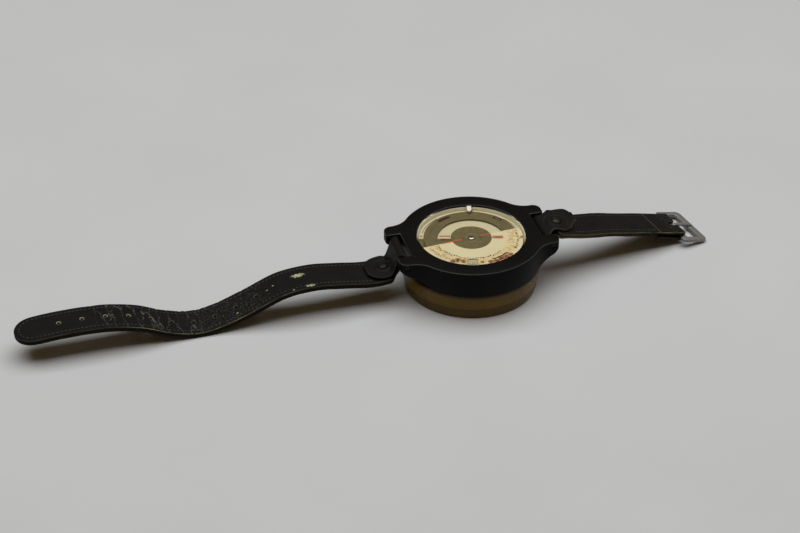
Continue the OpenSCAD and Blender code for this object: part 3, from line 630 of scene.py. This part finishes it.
def lie_height(lie, u):
    """Height of the smooth curve through a strap's lie at a distance from the middle."""
    u -= BAR_U
    i = max(0, min(len(lie) - 2, sum(p[0] <= u for p in lie) - 1))
    ends = [(lie[max(k - 1, 0)], lie[min(k + 1, len(lie) - 1)]) for k in (i, i + 1)]
    lean = [(b[1] - a[1]) / (b[0] - a[0]) for a, b in ends]
    span = lie[i + 1][0] - lie[i][0]
    t = (u - lie[i][0]) / span
    return ((2 * t ** 3 - 3 * t ** 2 + 1) * lie[i][1] + (t ** 3 - 2 * t ** 2 + t) * span * lean[0]
            + (3 * t ** 2 - 2 * t ** 3) * lie[i + 1][1] + (t ** 3 - t ** 2) * span * lean[1])


def lie_angle(lie, u):
    """Slope of a strap's lie at a distance from the middle."""
    return math.atan((lie_height(lie, u + 0.1) - lie_height(lie, u - 0.1)) / 0.2)


def normals(points):
    """The direction to the left of a line at each of its points."""
    ends = zip(points[:1] + points[:-1], points[1:] + points[-1:])
    return [Vector((a.y - b.y, b.x - a.x)).normalized() for a, b in ends]


def ply_line(lie, start, end, lift):
    """The line of a ply along a strap's lie, outwards, so far above its underside."""
    count = math.ceil(abs(end - start) / 0.5)
    points = [Vector((u, lie_height(lie, u))) for u in (start + (end - start) * k / count for k in range(count + 1))]
    return [p + lift * n for p, n in zip(points, normals(points))]


def wrapped(into, out, bar, radius, side, parts, more=0, held=lambda p: False):
    """A line that comes in, goes round a bar and leaves, its kinks eased where it is clear of the bar and not held,
    and the counts of its points before the wrap and on it."""
    turns = []
    for point, hand in ((into[-1], side), (out[0], -side)):
        away = point - bar
        turns.append(math.atan2(away.y, away.x) + hand * math.acos(radius / away.length))
    first, last = turns[0], turns[1] + more
    count = math.ceil(abs(last - first) / radians(8))
    turns = [first + (last - first) * k / count for k in range(count + 1)]
    wrap = [bar + radius * Vector((cos(a), sin(a))) for a in turns]
    lead, leave = ([a.lerp(b, k / parts) for k in range(1, parts)]
                   for a, b in ((into[-1], wrap[0]), (wrap[-1], out[0])))
    points = into + lead + wrap + leave + out
    for repeat in range(5):
        points = [p if i in (0, len(points) - 1) or (p - bar).length < radius + 0.6 or held(p)
                  else (points[i - 1] + 2 * p + points[i + 1]) / 4 for i, p in enumerate(points)]
    return points, len(into + lead), len(wrap)


def lengths(points):
    """Length along a line to each of its points."""
    run = [0]
    for a, b in zip(points, points[1:]):
        run.append(run[-1] + (b - a).length)
    return run


def length_at(points, run, u):
    """Length along an outward line to where it passes a distance from the middle."""
    i = next(k for k in range(1, len(points)) if points[k].x >= u and points[k].x > points[k - 1].x)
    return run[i - 1] + (run[i] - run[i - 1]) * (u - points[i - 1].x) / (points[i].x - points[i - 1].x)


def cut_leather(outline, holes, stations, rows, low, high, up, worn_end, rim=0):
    """A flat cut of leather, length along X: outlined, punched, thickened, rounded and divided so that it can bend.
    A UV map keeps its place in the flat hide, in units of 100 mm. Material 1 is its cut edge, 2 the worn part of
    its upper rim and 3 a flat rim round each hole."""
    bm = bmesh.new()
    edges = []
    middles = [sum((Vector(spot) for spot in loop), Vector((0, 0))) / len(loop) for loop in holes]
    for loop, middle in zip([outline] + holes, [None] + middles):
        verts = [bm.verts.new((x, y, low)) for x, y in loop]
        if rim and middle:
            inner = verts
            verts = [bm.verts.new((*(middle + (v.co.xy - middle).normalized() * rim), low)) for v in inner]
            for k in range(len(inner)):
                bm.faces.new((inner[k - 1], verts[k - 1], verts[k], inner[k]))
        edges += [bm.edges.get(pair) or bm.edges.new(pair) for pair in zip(verts, verts[1:] + verts[:1])]
    thicken(bm, high - low, edges)
    soften(bm, EDGE_ROUND, 2, 60)
    for axis, places in ((Vector((1, 0, 0)), stations), (Vector((0, 1, 0)), rows)):
        for place in places:
            bmesh.ops.bisect_plane(bm, geom=bm.verts[:] + bm.edges[:] + bm.faces[:], dist=1e-4,
                                   plane_co=axis * place, plane_no=axis)
    hide = bm.loops.layers.uv.new("hide")
    for face in bm.faces:
        face.normal_update()
        rises = face.normal.z * up
        centre = face.calc_center_median()
        if abs(rises) < 0.9:
            face.material_index = 2 if rises > 0.1 and centre.x < worn_end else 1
        if rises > 0.1 and any((centre.xy - middle).length < rim for middle in middles):
            face.material_index = 3
        for corner in face.loops:
            corner[hide].uv = corner.vert.co.xy / 100
    return bm


def relief(bm, high, folds, seam):
    """Presses wandering creases, the sewing groove and a soft unevenness into the upper face of flat leather."""
    for vert in bm.verts:
        if vert.co.z > high - 0.1:
            x, y = vert.co.x, vert.co.y
            depth = 0
            for k, (middle, deep) in enumerate(folds):
                off = x - middle - 0.9 * noise.noise((k * 3.7, y * 0.16, 0)) - 0.12 * y * sin(k * 2.1)
                depth += deep * math.exp(-(off / CREASE_WIDE) ** 2)
            vert.co.z += 0.1 * noise.noise((x * 0.14, y * 0.2, 1.5)) - depth
            vert.co.z -= GROOVE_DEPTH * math.exp(-((seam(x, y) - STITCH_IN) / 0.4) ** 2)


def bend(bm, points, side, rivet_u, plan, ease=lambda x: 1):
    """Bends flat leather along a line in side view, then turns it in plan about the rivet."""
    run, left = lengths(points), normals(points)
    for vert in bm.verts:
        i = max(0, min(len(points) - 2, bisect_right(run, vert.co.x) - 1))
        t = (vert.co.x - run[i]) / (run[i + 1] - run[i])
        spot = points[i].lerp(points[i + 1], t) + vert.co.z * left[i].lerp(left[i + 1], t).normalized()
        angle = radians(plan * ease(vert.co.x))
        out, y = spot.x - rivet_u, vert.co.y
        vert.co = (side * (rivet_u + out * cos(angle) - y * sin(angle)),
                   out * sin(angle) + y * cos(angle), spot.y)
    outward(bm)


def punched(x):
    """The outline of a punched hole."""
    return [(x + HOLE_R * cos(math.tau * k / 14), HOLE_R * sin(math.tau * k / 14)) for k in range(14)]


def round_tip(end):
    """The half-round tip of a strap, from one hand to the other."""
    return [(end - STRAP_HALF + STRAP_HALF * sin(pi * k / 24), -STRAP_HALF * cos(pi * k / 24))
            for k in range(25)]


def spaced(start, end, step):
    """Even places from start to end, about a step apart."""
    count = max(1, round((end - start) / step))
    return [start + (end - start) * k / count for k in range(count + 1)]


def stitch(bm, x, y, z, angle, thick=0.16):
    """One waxed stitch lying in its groove."""
    bmesh.ops.create_uvsphere(bm, u_segments=6, v_segments=4, radius=1, matrix=Matrix.Translation((x, y, z))
                              @ Matrix.Rotation(angle, 4, "Z") @ Matrix.Diagonal((0.6, thick, 0.15, 1)))


def edge_rows(bm, last, z):
    """The two rows of stitches along a strap's edges."""
    for x in spaced(STITCH_START, last, STITCH_PITCH):
        for side in (-1, 1):
            stitch(bm, x, side * SEAM_HALF, z, STITCH_SLANT * side)


# Black cowhide: vegetable tanned, dyed and waxed. Near-black with a dull sheen, a pebbled grain half a millimetre
# across, fine cracks across the bends and pale scuffs where the dye has gone.
def cowhide(name, colours, cracks, rubs, scuffs=()):
    """Hide by its flat place in mm, cracked and rubbed along one stretch each, a middle and a reach, and scuffed in
    spots, each a place and two reaches."""
    made, tree, skin, place = surface(name, {"IOR": 1.5, "Specular IOR Level": 0.08})
    spot = put(tree, "VectorMath", {0: put(tree, "UVMap", uv_map="hide"), "Scale": 100.0}, operation="SCALE")
    tint = put(tree, "TexNoise", {"Vector": spot, "Scale": 0.12, "Detail": 5})
    pebble = put(tree, "TexVoronoi", {"Vector": spot, "Scale": 1.6}, feature="SMOOTH_F1")
    wide = put(tree, "TexNoise", {"Vector": spot, "Scale": 0.5, "Detail": 6, "Roughness": 0.6})
    tree.links.new(put(tree, "MapRange", (wide, 0.3, 0.7, 0.42, 0.62)), skin.inputs["Roughness"])
    wander = put(tree, "TexNoise", {"Vector": spot, "Scale": 0.25, "Detail": 5}, 1)
    wander = put(tree, "VectorMath", {0: wander, "Scale": 4.0}, operation="SCALE")
    stretch = put(tree, "VectorMath", (spot, wander), operation="ADD")
    stretch = put(tree, "VectorMath", (stretch, (1.0, 0.15, 1.0)), operation="MULTIPLY")
    split = put(tree, "TexVoronoi", {"Vector": stretch, "Scale": 0.21}, feature="DISTANCE_TO_EDGE")
    split = put(tree, "MapRange", (split, 0, 0.028, 1, 0))
    torn = put(tree, "TexNoise", {"Vector": spot, "Scale": 1.1, "Detail": 5, "Roughness": 0.7})
    rough = put(tree, "MapRange", (torn, 0.52, 0.66))
    along = put(tree, "SeparateXYZ", (spot,))
    patch = put(tree, "MapRange", (wide, 0.38, 0.55))

    def kept_to(pattern, middle, reach):
        """A pattern kept to a stretch of the strap and broken by the wide noise."""
        off = put(tree, "Math", (put(tree, "Math", (along, middle), operation="SUBTRACT"),), operation="ABSOLUTE")
        near = put(tree, "MapRange", (off, reach * 0.6, reach, 1, 0))
        grip = put(tree, "Math", (near, patch), operation="MULTIPLY")
        return put(tree, "Math", (pattern, grip), operation="MULTIPLY")

    split = kept_to(split, *cracks)
    pale = put(tree, "Math", (split, 0.38), operation="MULTIPLY")
    grey = put(tree, "Math", (kept_to(rough, *rubs), 0.42), operation="MULTIPLY")
    coats = [(tint, colours[1]), (pale, "#8a8a84"), (grey, "#77766f")]
    fibre = put(tree, "Mix", {0: rough, 6: linear("#b3b086"), 7: linear("#7a7753")}, 2, data_type="RGBA")
    for x, y, length, breadth in scuffs:
        off = put(tree, "VectorMath", (spot, (x, y, 0)), operation="SUBTRACT")
        off = put(tree, "VectorMath", (off, (1 / length, 1 / breadth, 0)), operation="MULTIPLY")
        off = put(tree, "VectorMath", (off,), "Value", operation="LENGTH")
        off = put(tree, "Math", (torn, 2.4, off), operation="MULTIPLY_ADD")
        coats.append((put(tree, "MapRange", (off, 1.7, 1.95, 0.95, 0)), fibre))
    coated(tree, skin, linear(colours[0]), *coats)
    raised = put(tree, "Math", (put(tree, "Math", (pebble, wide), operation="ADD"), split), operation="SUBTRACT")
    bump = put(tree, "Bump", {"Height": raised, "Strength": 0.55, "Distance": 0.07 * MM})
    tree.links.new(bump, skin.inputs["Normal"])
    return made


def along_hide(tree):
    """Length along the flat hide, in units of 100 mm."""
    return put(tree, "SeparateXYZ", (put(tree, "UVMap", uv_map="hide"),))


# Cut edge: the hide's brown-black core, dyed and burnished, with a dull shine.
DULL = {"Specular IOR Level": 0.1}
edge_hide = grained("burnished_cut_edge", DULL, ("#0f0e0b", "#201d15"), 3, 0.5, (0.5, 0.7), 0.05)[0]
# Worn cut edge: the same core where the dye has gone and bare olive-cream fibre shows.
bare_edge, tree, skin, place, bare = grained("worn_cut_edge", DULL, ("#17150f", "#79744f"), 4, 0.5, (0.6, 0.8), 0.05)
worn = put(tree, "MapRange", (along_hide(tree), 0.28, 0.5, 0.9, 0.15))
coated(tree, skin, linear("#100f0c"), (worn, bare))
# Worn rim: the upper edge rubbed pale and broken where a sleeve and the table wear it.
worn_rim, tree, skin, place, dyed = grained("worn_leather_rim", DULL, ("#191816", "#34322c"), 2.4, 0.4, (0.6, 0.8),
                                            0.03)
rub = put(tree, "TexNoise", {"Vector": place, "Scale": per(9), "Detail": 5, "Roughness": 0.6})
rub = put(tree, "MapRange", (rub, 0.36, 0.6))
off = put(tree, "Math", (along_hide(tree), 0.8), operation="SUBTRACT")
off = put(tree, "Math", (off,), operation="ABSOLUTE")
rub = put(tree, "Math", (rub, put(tree, "MapRange", (off, 0.32, 0.42, 0.8, 0.15))), operation="MULTIPLY")
coated(tree, skin, dyed, (rub, "#9a9568"))
# Rubbed rim: the same edge on the loop and tongue, where the dye has only gone grey.
grey_rim = grained("rubbed_leather_rim", DULL, ("#191917", "#4b4a45"), 3, 0.4, (0.6, 0.8), 0.03)[0]
# Punched rim: raw hide round each hole, cream where the prong has polished it.
raw_rim, tree, skin, place, raw = grained("punched_raw_hide", {"Specular IOR Level": 0.15}, ("#5f5c46", "#a39f7d"),
                                          6, 0.3, (0.5, 0.7), 0.02)
used = put(tree, "MapRange", (along_hide(tree), 0.95, 1.2, 0.2))
coated(tree, skin, linear("#1c1b18"), (used, raw))
# Waxed linen thread: twisted, cream once, now dull and dirty.
thread = grained("waxed_linen_thread", {"Specular IOR Level": 0.25}, ("#2b2a24", "#625f52"), 6, 0.25, (0.6, 0.8),
                 0.05)[0]

outer_points = ply_line(LONG_LIE, LONG_RIVET_U - OUTER_START, LONG_REACH, LINING_TOP)
outer_run = lengths(outer_points)
end = outer_run[-1]
tip_x = end - STRAP_HALF
hole_us = [LONG_REACH - HOLE_INSET]
while len(hole_us) < HOLE_COUNT:
    hole_us.append(hole_us[-1] - HOLE_PITCH * cos(lie_angle(LONG_LIE, hole_us[-1] - HOLE_PITCH / 2)))
holes = [punched(length_at(outer_points, outer_run, u)) for u in hole_us]
trough, crest = (length_at(outer_points, outer_run, BAR_U + out) for out in (TROUGH_OUT, CREST_OUT))
random.seed(7)
folds = [(trough + random.gauss(0, 13), random.uniform(0.05, 0.2)) for k in range(26)]
folds += [(crest + random.gauss(0, 4), 0.1) for k in range(5)]
stations = sorted({round(x, 2) for x in spaced(0.4, end - 0.6, 0.9) + spaced(trough - 24, trough + 24, 0.4)})
outline = [(0, -STRAP_HALF), *round_tip(end), (0, STRAP_HALF)]
bm = cut_leather(outline, holes, stations, ROWS, 0, OUTER_T, 1, end, HOLE_RIM)
relief(bm, OUTER_T, folds, lambda x, y: STRAP_HALF - (math.hypot(x - tip_x, y) if x > tip_x else abs(y)))
bend(bm, outer_points, -1, LONG_RIVET_U, LONG_PLAN)
OUTER_BLACKS = ("#0f0f0f", "#1a1a19")
long_hide = cowhide("black_cowhide_long", OUTER_BLACKS, (trough + 20, 26), (trough - 14, 22), (
    (38.9, 1.9, 3.8, 1.7), (35.6, -6.8, 2.6, 1.2), (50, 0.6, 0.6, 0.3), (52.8, -0.4, 0.7, 0.3),
    (42.8, -7.4, 0.5, 0.4), (68, -4.6, 0.7, 0.4)))
show(bm, "long_strap_upper", "long_strap", [long_hide, edge_hide, worn_rim, raw_rim],
     ["long_strap_outer"], smooth=50)

bm = bmesh.new()
edge_rows(bm, tip_x, OUTER_T - STITCH_SINK)
for k in range(1, 10):
    angle = pi * k / 10 - pi / 2
    stitch(bm, tip_x + SEAM_HALF * cos(angle), SEAM_HALF * sin(angle), OUTER_T - STITCH_SINK,
           angle + pi / 2)
bend(bm, outer_points, -1, LONG_RIVET_U, LONG_PLAN)
show(bm, "long_strap_sewing", "long_strap", [thread])


def tongue_edge(u, rivet_u, plan, hand):
    """The edge of a loop and tongue at a distance from the middle, on one hand: a straight neck, a waist and a round
    end, turned in plan about the lug bar."""
    turn = radians(plan)
    end_u = rivet_u + TONGUE_OUT
    edge = NECK_HALF - 0.55 * max(u - end_u + 2.5, 0)
    along = u - BAR_U - (end_u - BAR_U) * cos(turn)
    if abs(along) < TONGUE_R:
        edge = max(edge, hand * (end_u - BAR_U) * sin(turn) + math.sqrt(TONGUE_R ** 2 - along ** 2))
    waist = WAIST_HALF + WAIST_R
    along = u - BAR_U - WAIST_OUT * cos(turn) + hand * waist * sin(turn)
    if abs(along) < WAIST_R:
        middle = hand * WAIST_OUT * sin(turn) + waist * cos(turn)
        edge = min(edge, middle - math.sqrt(WAIST_R ** 2 - along ** 2))
    return hand * edge


def lining(lie, rivet_u, reach, lift, curl, twist, plan, side, hole_places=()):
    """A lining with its loop and tongue, cut flat, twisted up at the tongue's far corner and bent along a line that
    comes in from the curled tongue, goes round the lug bar and then out. A punched one has a round tip."""
    low = ply_line(lie, rivet_u - LOOP_BEND, reach, LINING_T / 2)
    tongue = ply_line(lie, rivet_u - TONGUE_BEND, rivet_u + TONGUE_OUT + TONGUE_R, STRAP_T + lift + LINING_T / 2)
    for spot in tongue:
        spot.y += curl * (max(spot.x - rivet_u - TONGUE_BEND, 0) / (TONGUE_OUT + TONGUE_R + 1 - TONGUE_BEND)) ** 2
    points, loop_end, _ = wrapped(tongue[::-1], low, Vector((BAR_U, BAR_Z)), LOOP_R, 1, 8, math.tau,
                                  lambda p: p.x > rivet_u + 6)
    run = lengths(points)
    strap_x = next(run[i] for i in range(loop_end, len(points)) if points[i].x > rivet_u - LOOP_BEND)
    end = run[-1]
    sides = {-1: [], 1: []}
    for hand, line in sides.items():
        for x, point in zip(run[1:], points[1:]):
            if x < strap_x + 2:
                edge = tongue_edge(point.x, rivet_u, plan, hand)
                share = min(max((x - strap_x + 1.5) / 3.5, 0), 1)
                line.append((x, edge + (hand * STRAP_HALF - edge) * share))
    tip = round_tip(end) if hole_places else [(end, -STRAP_HALF), (end, STRAP_HALF)]
    outline = sides[1] + [(x, -y) for x, y in tip] + sides[-1][::-1]
    places = spaced(1.2, strap_x + 4, 0.45) + spaced(strap_x + 5, end - 0.6, 1.1)
    holes = [punched(length_at(points[loop_end:], run[loop_end:], u)) for u in hole_places]
    bm = cut_leather(outline, holes, places, spaced(-7.8, 7.8, 0.6), -LINING_T / 2, LINING_T / 2, -1, strap_x - 6)
    rivet_x = next(x for x, point in zip(run, points) if point.x < rivet_u)
    for vert in bm.verts:
        if vert.co.z < 0.1 - LINING_T / 2:
            away = math.hypot(vert.co.x - rivet_x, vert.co.y)
            vert.co.z += 0.4 * math.exp(-((away - 4.3) / 0.5) ** 2) + 0.12 * math.exp(-((away - 6.4) / 0.5) ** 2)
            vert.co.z += 0.08 * noise.noise(vert.co * 0.25)
        vert.co.z -= twist * max((rivet_x - 1.5 - vert.co.x) / TONGUE_R, 0) * max(vert.co.y / TONGUE_R + 1, 0) / 2
    bend(bm, points, side, rivet_u, plan, lambda x: min(max((x - strap_x + 1) / 4, 0), 1))
    return bm


LINING_BLACKS = ("#10100e", "#1c1b18")
long_lining_hide = cowhide("black_cowhide_lining", LINING_BLACKS, (130, 60), (40, 6))
bm = lining(LONG_LIE, LONG_RIVET_U, LONG_REACH, LONG_LIFT, LONG_CURL, 0, LONG_PLAN, -1, hole_us)
show(bm, "long_strap_under", "long_strap", [long_lining_hide, edge_hide, grey_rim],
     ["long_strap_lining"], smooth=50)

# Short strap. The same two plies, but here the outer leather is folded over the buckle's bar, slotted for the
# prong and sewn back on itself with one row across.
SHORT_RIVET_U = 37.6
SHORT_LIFT = 0.8
SHORT_CURL = 3
SHORT_TWIST = 3.2
SHORT_PLAN = 10
SHORT_LIE = ((1.4, 20.7), (7.4, 19.3), (14.4, 17.3), (21.4, 15.7), (29.4, 14.1), (39.4, 11.2), (54.4, 6.9),
             (69.4, 2.2))
BUCKLE_U = 99.7
BUCKLE_Z = 3.4
FOLD_R = 1.55
FOLD_LEAD = 8
TURN_BACK = 14
CROSS_BACK = 16.2
LINING_GAP = 0.3
NOTCH = ((-5.2, -1.5), (5.2, -1.5), (5.9, -0.75), (5.9, 0.75), (5.2, 1.5), (-5.2, 1.5), (-5.9, 0.75), (-5.9, -0.75))

over = ply_line(SHORT_LIE, SHORT_RIVET_U - OUTER_START, BUCKLE_U - FOLD_LEAD, LINING_TOP + OUTER_T / 2)
under = ply_line(SHORT_LIE, BUCKLE_U - TURN_BACK, BUCKLE_U - FOLD_LEAD, OUTER_T / 2 - LINING_T)[::-1]
fold_points, before, wrap = wrapped(over, under, Vector((BUCKLE_U, BUCKLE_Z)), FOLD_R, -1, 10)
run = lengths(fold_points)
bar_x = run[before + wrap // 2]
end = run[-1]
cross_x = bar_x - CROSS_BACK
folds = [(bar_x - 8.2, 0.22), (bar_x - 7.2, -0.12), (24, 0.08), (27, 0.1), (33, 0.06), (12, 0.07)]
stations = spaced(0.4, bar_x - 8, 0.8) + spaced(bar_x - 7.6, bar_x + 7.6, 0.35) + spaced(bar_x + 8.2, end - 0.4, 0.8)
bm = cut_leather([(0, -STRAP_HALF), (end, -STRAP_HALF), (end, STRAP_HALF), (0, STRAP_HALF)],
                 [[(bar_x + x, y) for x, y in NOTCH]], stations, ROWS, -OUTER_T / 2, OUTER_T / 2, 1, bar_x)
relief(bm, OUTER_T / 2, folds, lambda x, y: STRAP_HALF - abs(y) if x < bar_x - 6 else 9)
bend(bm, fold_points, 1, SHORT_RIVET_U, SHORT_PLAN)
short_hide = cowhide("black_cowhide_short", OUTER_BLACKS, (bar_x, 3), (bar_x - 4, 6))
show(bm, "short_strap_upper", "short_strap", [short_hide, bare_edge, worn_rim],
     ["short_strap_outer"], smooth=50)

bm = bmesh.new()
edge_rows(bm, cross_x, OUTER_T / 2 - STITCH_SINK)
for y in spaced(-STRAP_HALF + 0.8, STRAP_HALF - 0.8, 1.5):
    stitch(bm, cross_x, y, OUTER_T / 2 + 0.04, pi / 2, 0.3)
bend(bm, fold_points, 1, SHORT_RIVET_U, SHORT_PLAN)
show(bm, "short_strap_sewing", "short_strap", [thread])

short_lining_hide = cowhide("black_cowhide_short_lining", LINING_BLACKS, (45, 10), (30, 6))
bm = lining(SHORT_LIE, SHORT_RIVET_U, BUCKLE_U - TURN_BACK - LINING_GAP, SHORT_LIFT, SHORT_CURL, SHORT_TWIST,
            SHORT_PLAN, 1)
show(bm, "short_strap_under", "short_strap", [short_lining_hide, bare_edge, grey_rim],
     ["short_strap_lining"], smooth=50)

# Rivets. Domed brass caps, blacked, set through tongue and strap and closed over a washer underneath; the short
# strap's is rubbed all over, in a more metallic finish.
RIVET_PROFILE = ((0, 0.9), (0.8, 0.84), (1.5, 0.66), (2.05, 0.38), (2.35, 0.12), (2.4, 0), (2.3, -0.12),
                 (1.1, -0.12))
RIVET_TAIL = [(1.1, -0.6), (0, -0.6)]
# Blacked brass: a brown-black skin over yellow metal. Rubbed brass: the same skin worn grey-brown all over, and
# more metallic.
blacked = grained("blacked_brass", {"Metallic": 0.3, "Specular IOR Level": 0.2}, ("#0a0908", "#1a1713"), 2, 0.3,
                  (0.35, 0.55), 0.02)[0]
rubbed = grained("rubbed_brass", {"Metallic": 0.8}, ("#191613", "#37322b"), 1.6, 0.3, (0.3, 0.5), 0.02)[0]
for lie, rivet_u, lift, side, strap, finish in ((LONG_LIE, LONG_RIVET_U, LONG_LIFT, -1, "long", blacked),
                                                (SHORT_LIE, SHORT_RIVET_U, SHORT_LIFT, 1, "short", rubbed)):
    cap = STRAP_T + lift + LINING_T + 0.1
    bm = turned([(r, z + cap) for r, z in RIVET_PROFILE] + RIVET_TAIL, 32)
    lean = Matrix.Rotation(-lie_angle(lie, rivet_u), 4, "Y")
    stand = Matrix.Translation((rivet_u, 0, lie_height(lie, rivet_u))) @ lean
    bmesh.ops.transform(bm, matrix=Matrix.Diagonal((side, 1, 1, 1)) @ stand, verts=bm.verts)
    outward(bm)
    show(bm, strap + "_rivet_dome", strap + "_strap", [finish], [strap + "_rivet"], smooth=60)
paint(brass, "long_rivet_washer", "short_rivet_washer")

# Buckle. A pressed zinc frame with soft edges, open towards the strap and closed by the bar that the leather
# folds round; the prong is bent round the same bar and its tip rests on the frame's outer side.
FRAME_T = 1.6
FRAME_LEAN = 14.93
FRAME_BAR_R = 0.9
FRAME_BAR_L = 22
PRONG_W = 1.8
PRONG_R = 1.85
PRONG_EYE_R = 0.95
# Pressed zinc: dull light grey, dry, with fine pits and rub marks.
zinc = grained("pressed_zinc", {"Metallic": 0.6}, ("#757572", "#949490"), 2.5, 0.35, (0.42, 0.6), 0.02)[0]
on_buckle = (Matrix.Translation((SHORT_RIVET_U, 0, 0)) @ about_z(SHORT_PLAN)
             @ Matrix.Translation((BUCKLE_U - SHORT_RIVET_U, 0, BUCKLE_Z))
             @ Matrix.Rotation(radians(FRAME_LEAN), 4, "Y"))
bm = bmesh.new()
draw(bm, -FRAME_T / 2, (6.8, 0), (6.8, 8.8), ((5.8, 8.8), 90, 4), (-2.8, 9.8), (-2.8, 11.2), ((-1.4, 11.2), -90, 6),
     (7.6, 12.6), ((7.6, 10), -90, 8), (10.2, 0))
bmesh.ops.mirror(bm, geom=bm.verts[:] + bm.edges[:], matrix=Matrix(), merge_dist=1e-3, axis="Y")
thicken(bm, FRAME_T)
soften(bm, 0.4, 3, 50)
rod(bm, FRAME_BAR_R, FRAME_BAR_L, across)
bmesh.ops.transform(bm, matrix=on_buckle, verts=bm.verts)
show(bm, "zinc_buckle", "buckle", [zinc], ["buckle_frame"])

low = -PRONG_W / 2
bm = bmesh.new()
first, last = draw(bm, low, (0, PRONG_R), ((0, 0), 300, 24), (8.4, 0.86), (8.9, 1.0), (9.0, 1.3), (8.6, 1.72))
bm.edges.new((last, first))
bmesh.ops.create_circle(bm, segments=24, radius=PRONG_EYE_R, matrix=Matrix.Translation((0, 0, low)))
thicken(bm, PRONG_W)
soften(bm, 0.2, 2, 50)
bmesh.ops.transform(bm, matrix=on_buckle @ across, verts=bm.verts)
show(bm, "zinc_prong", "prong", [zinc], ["buckle_prong"])
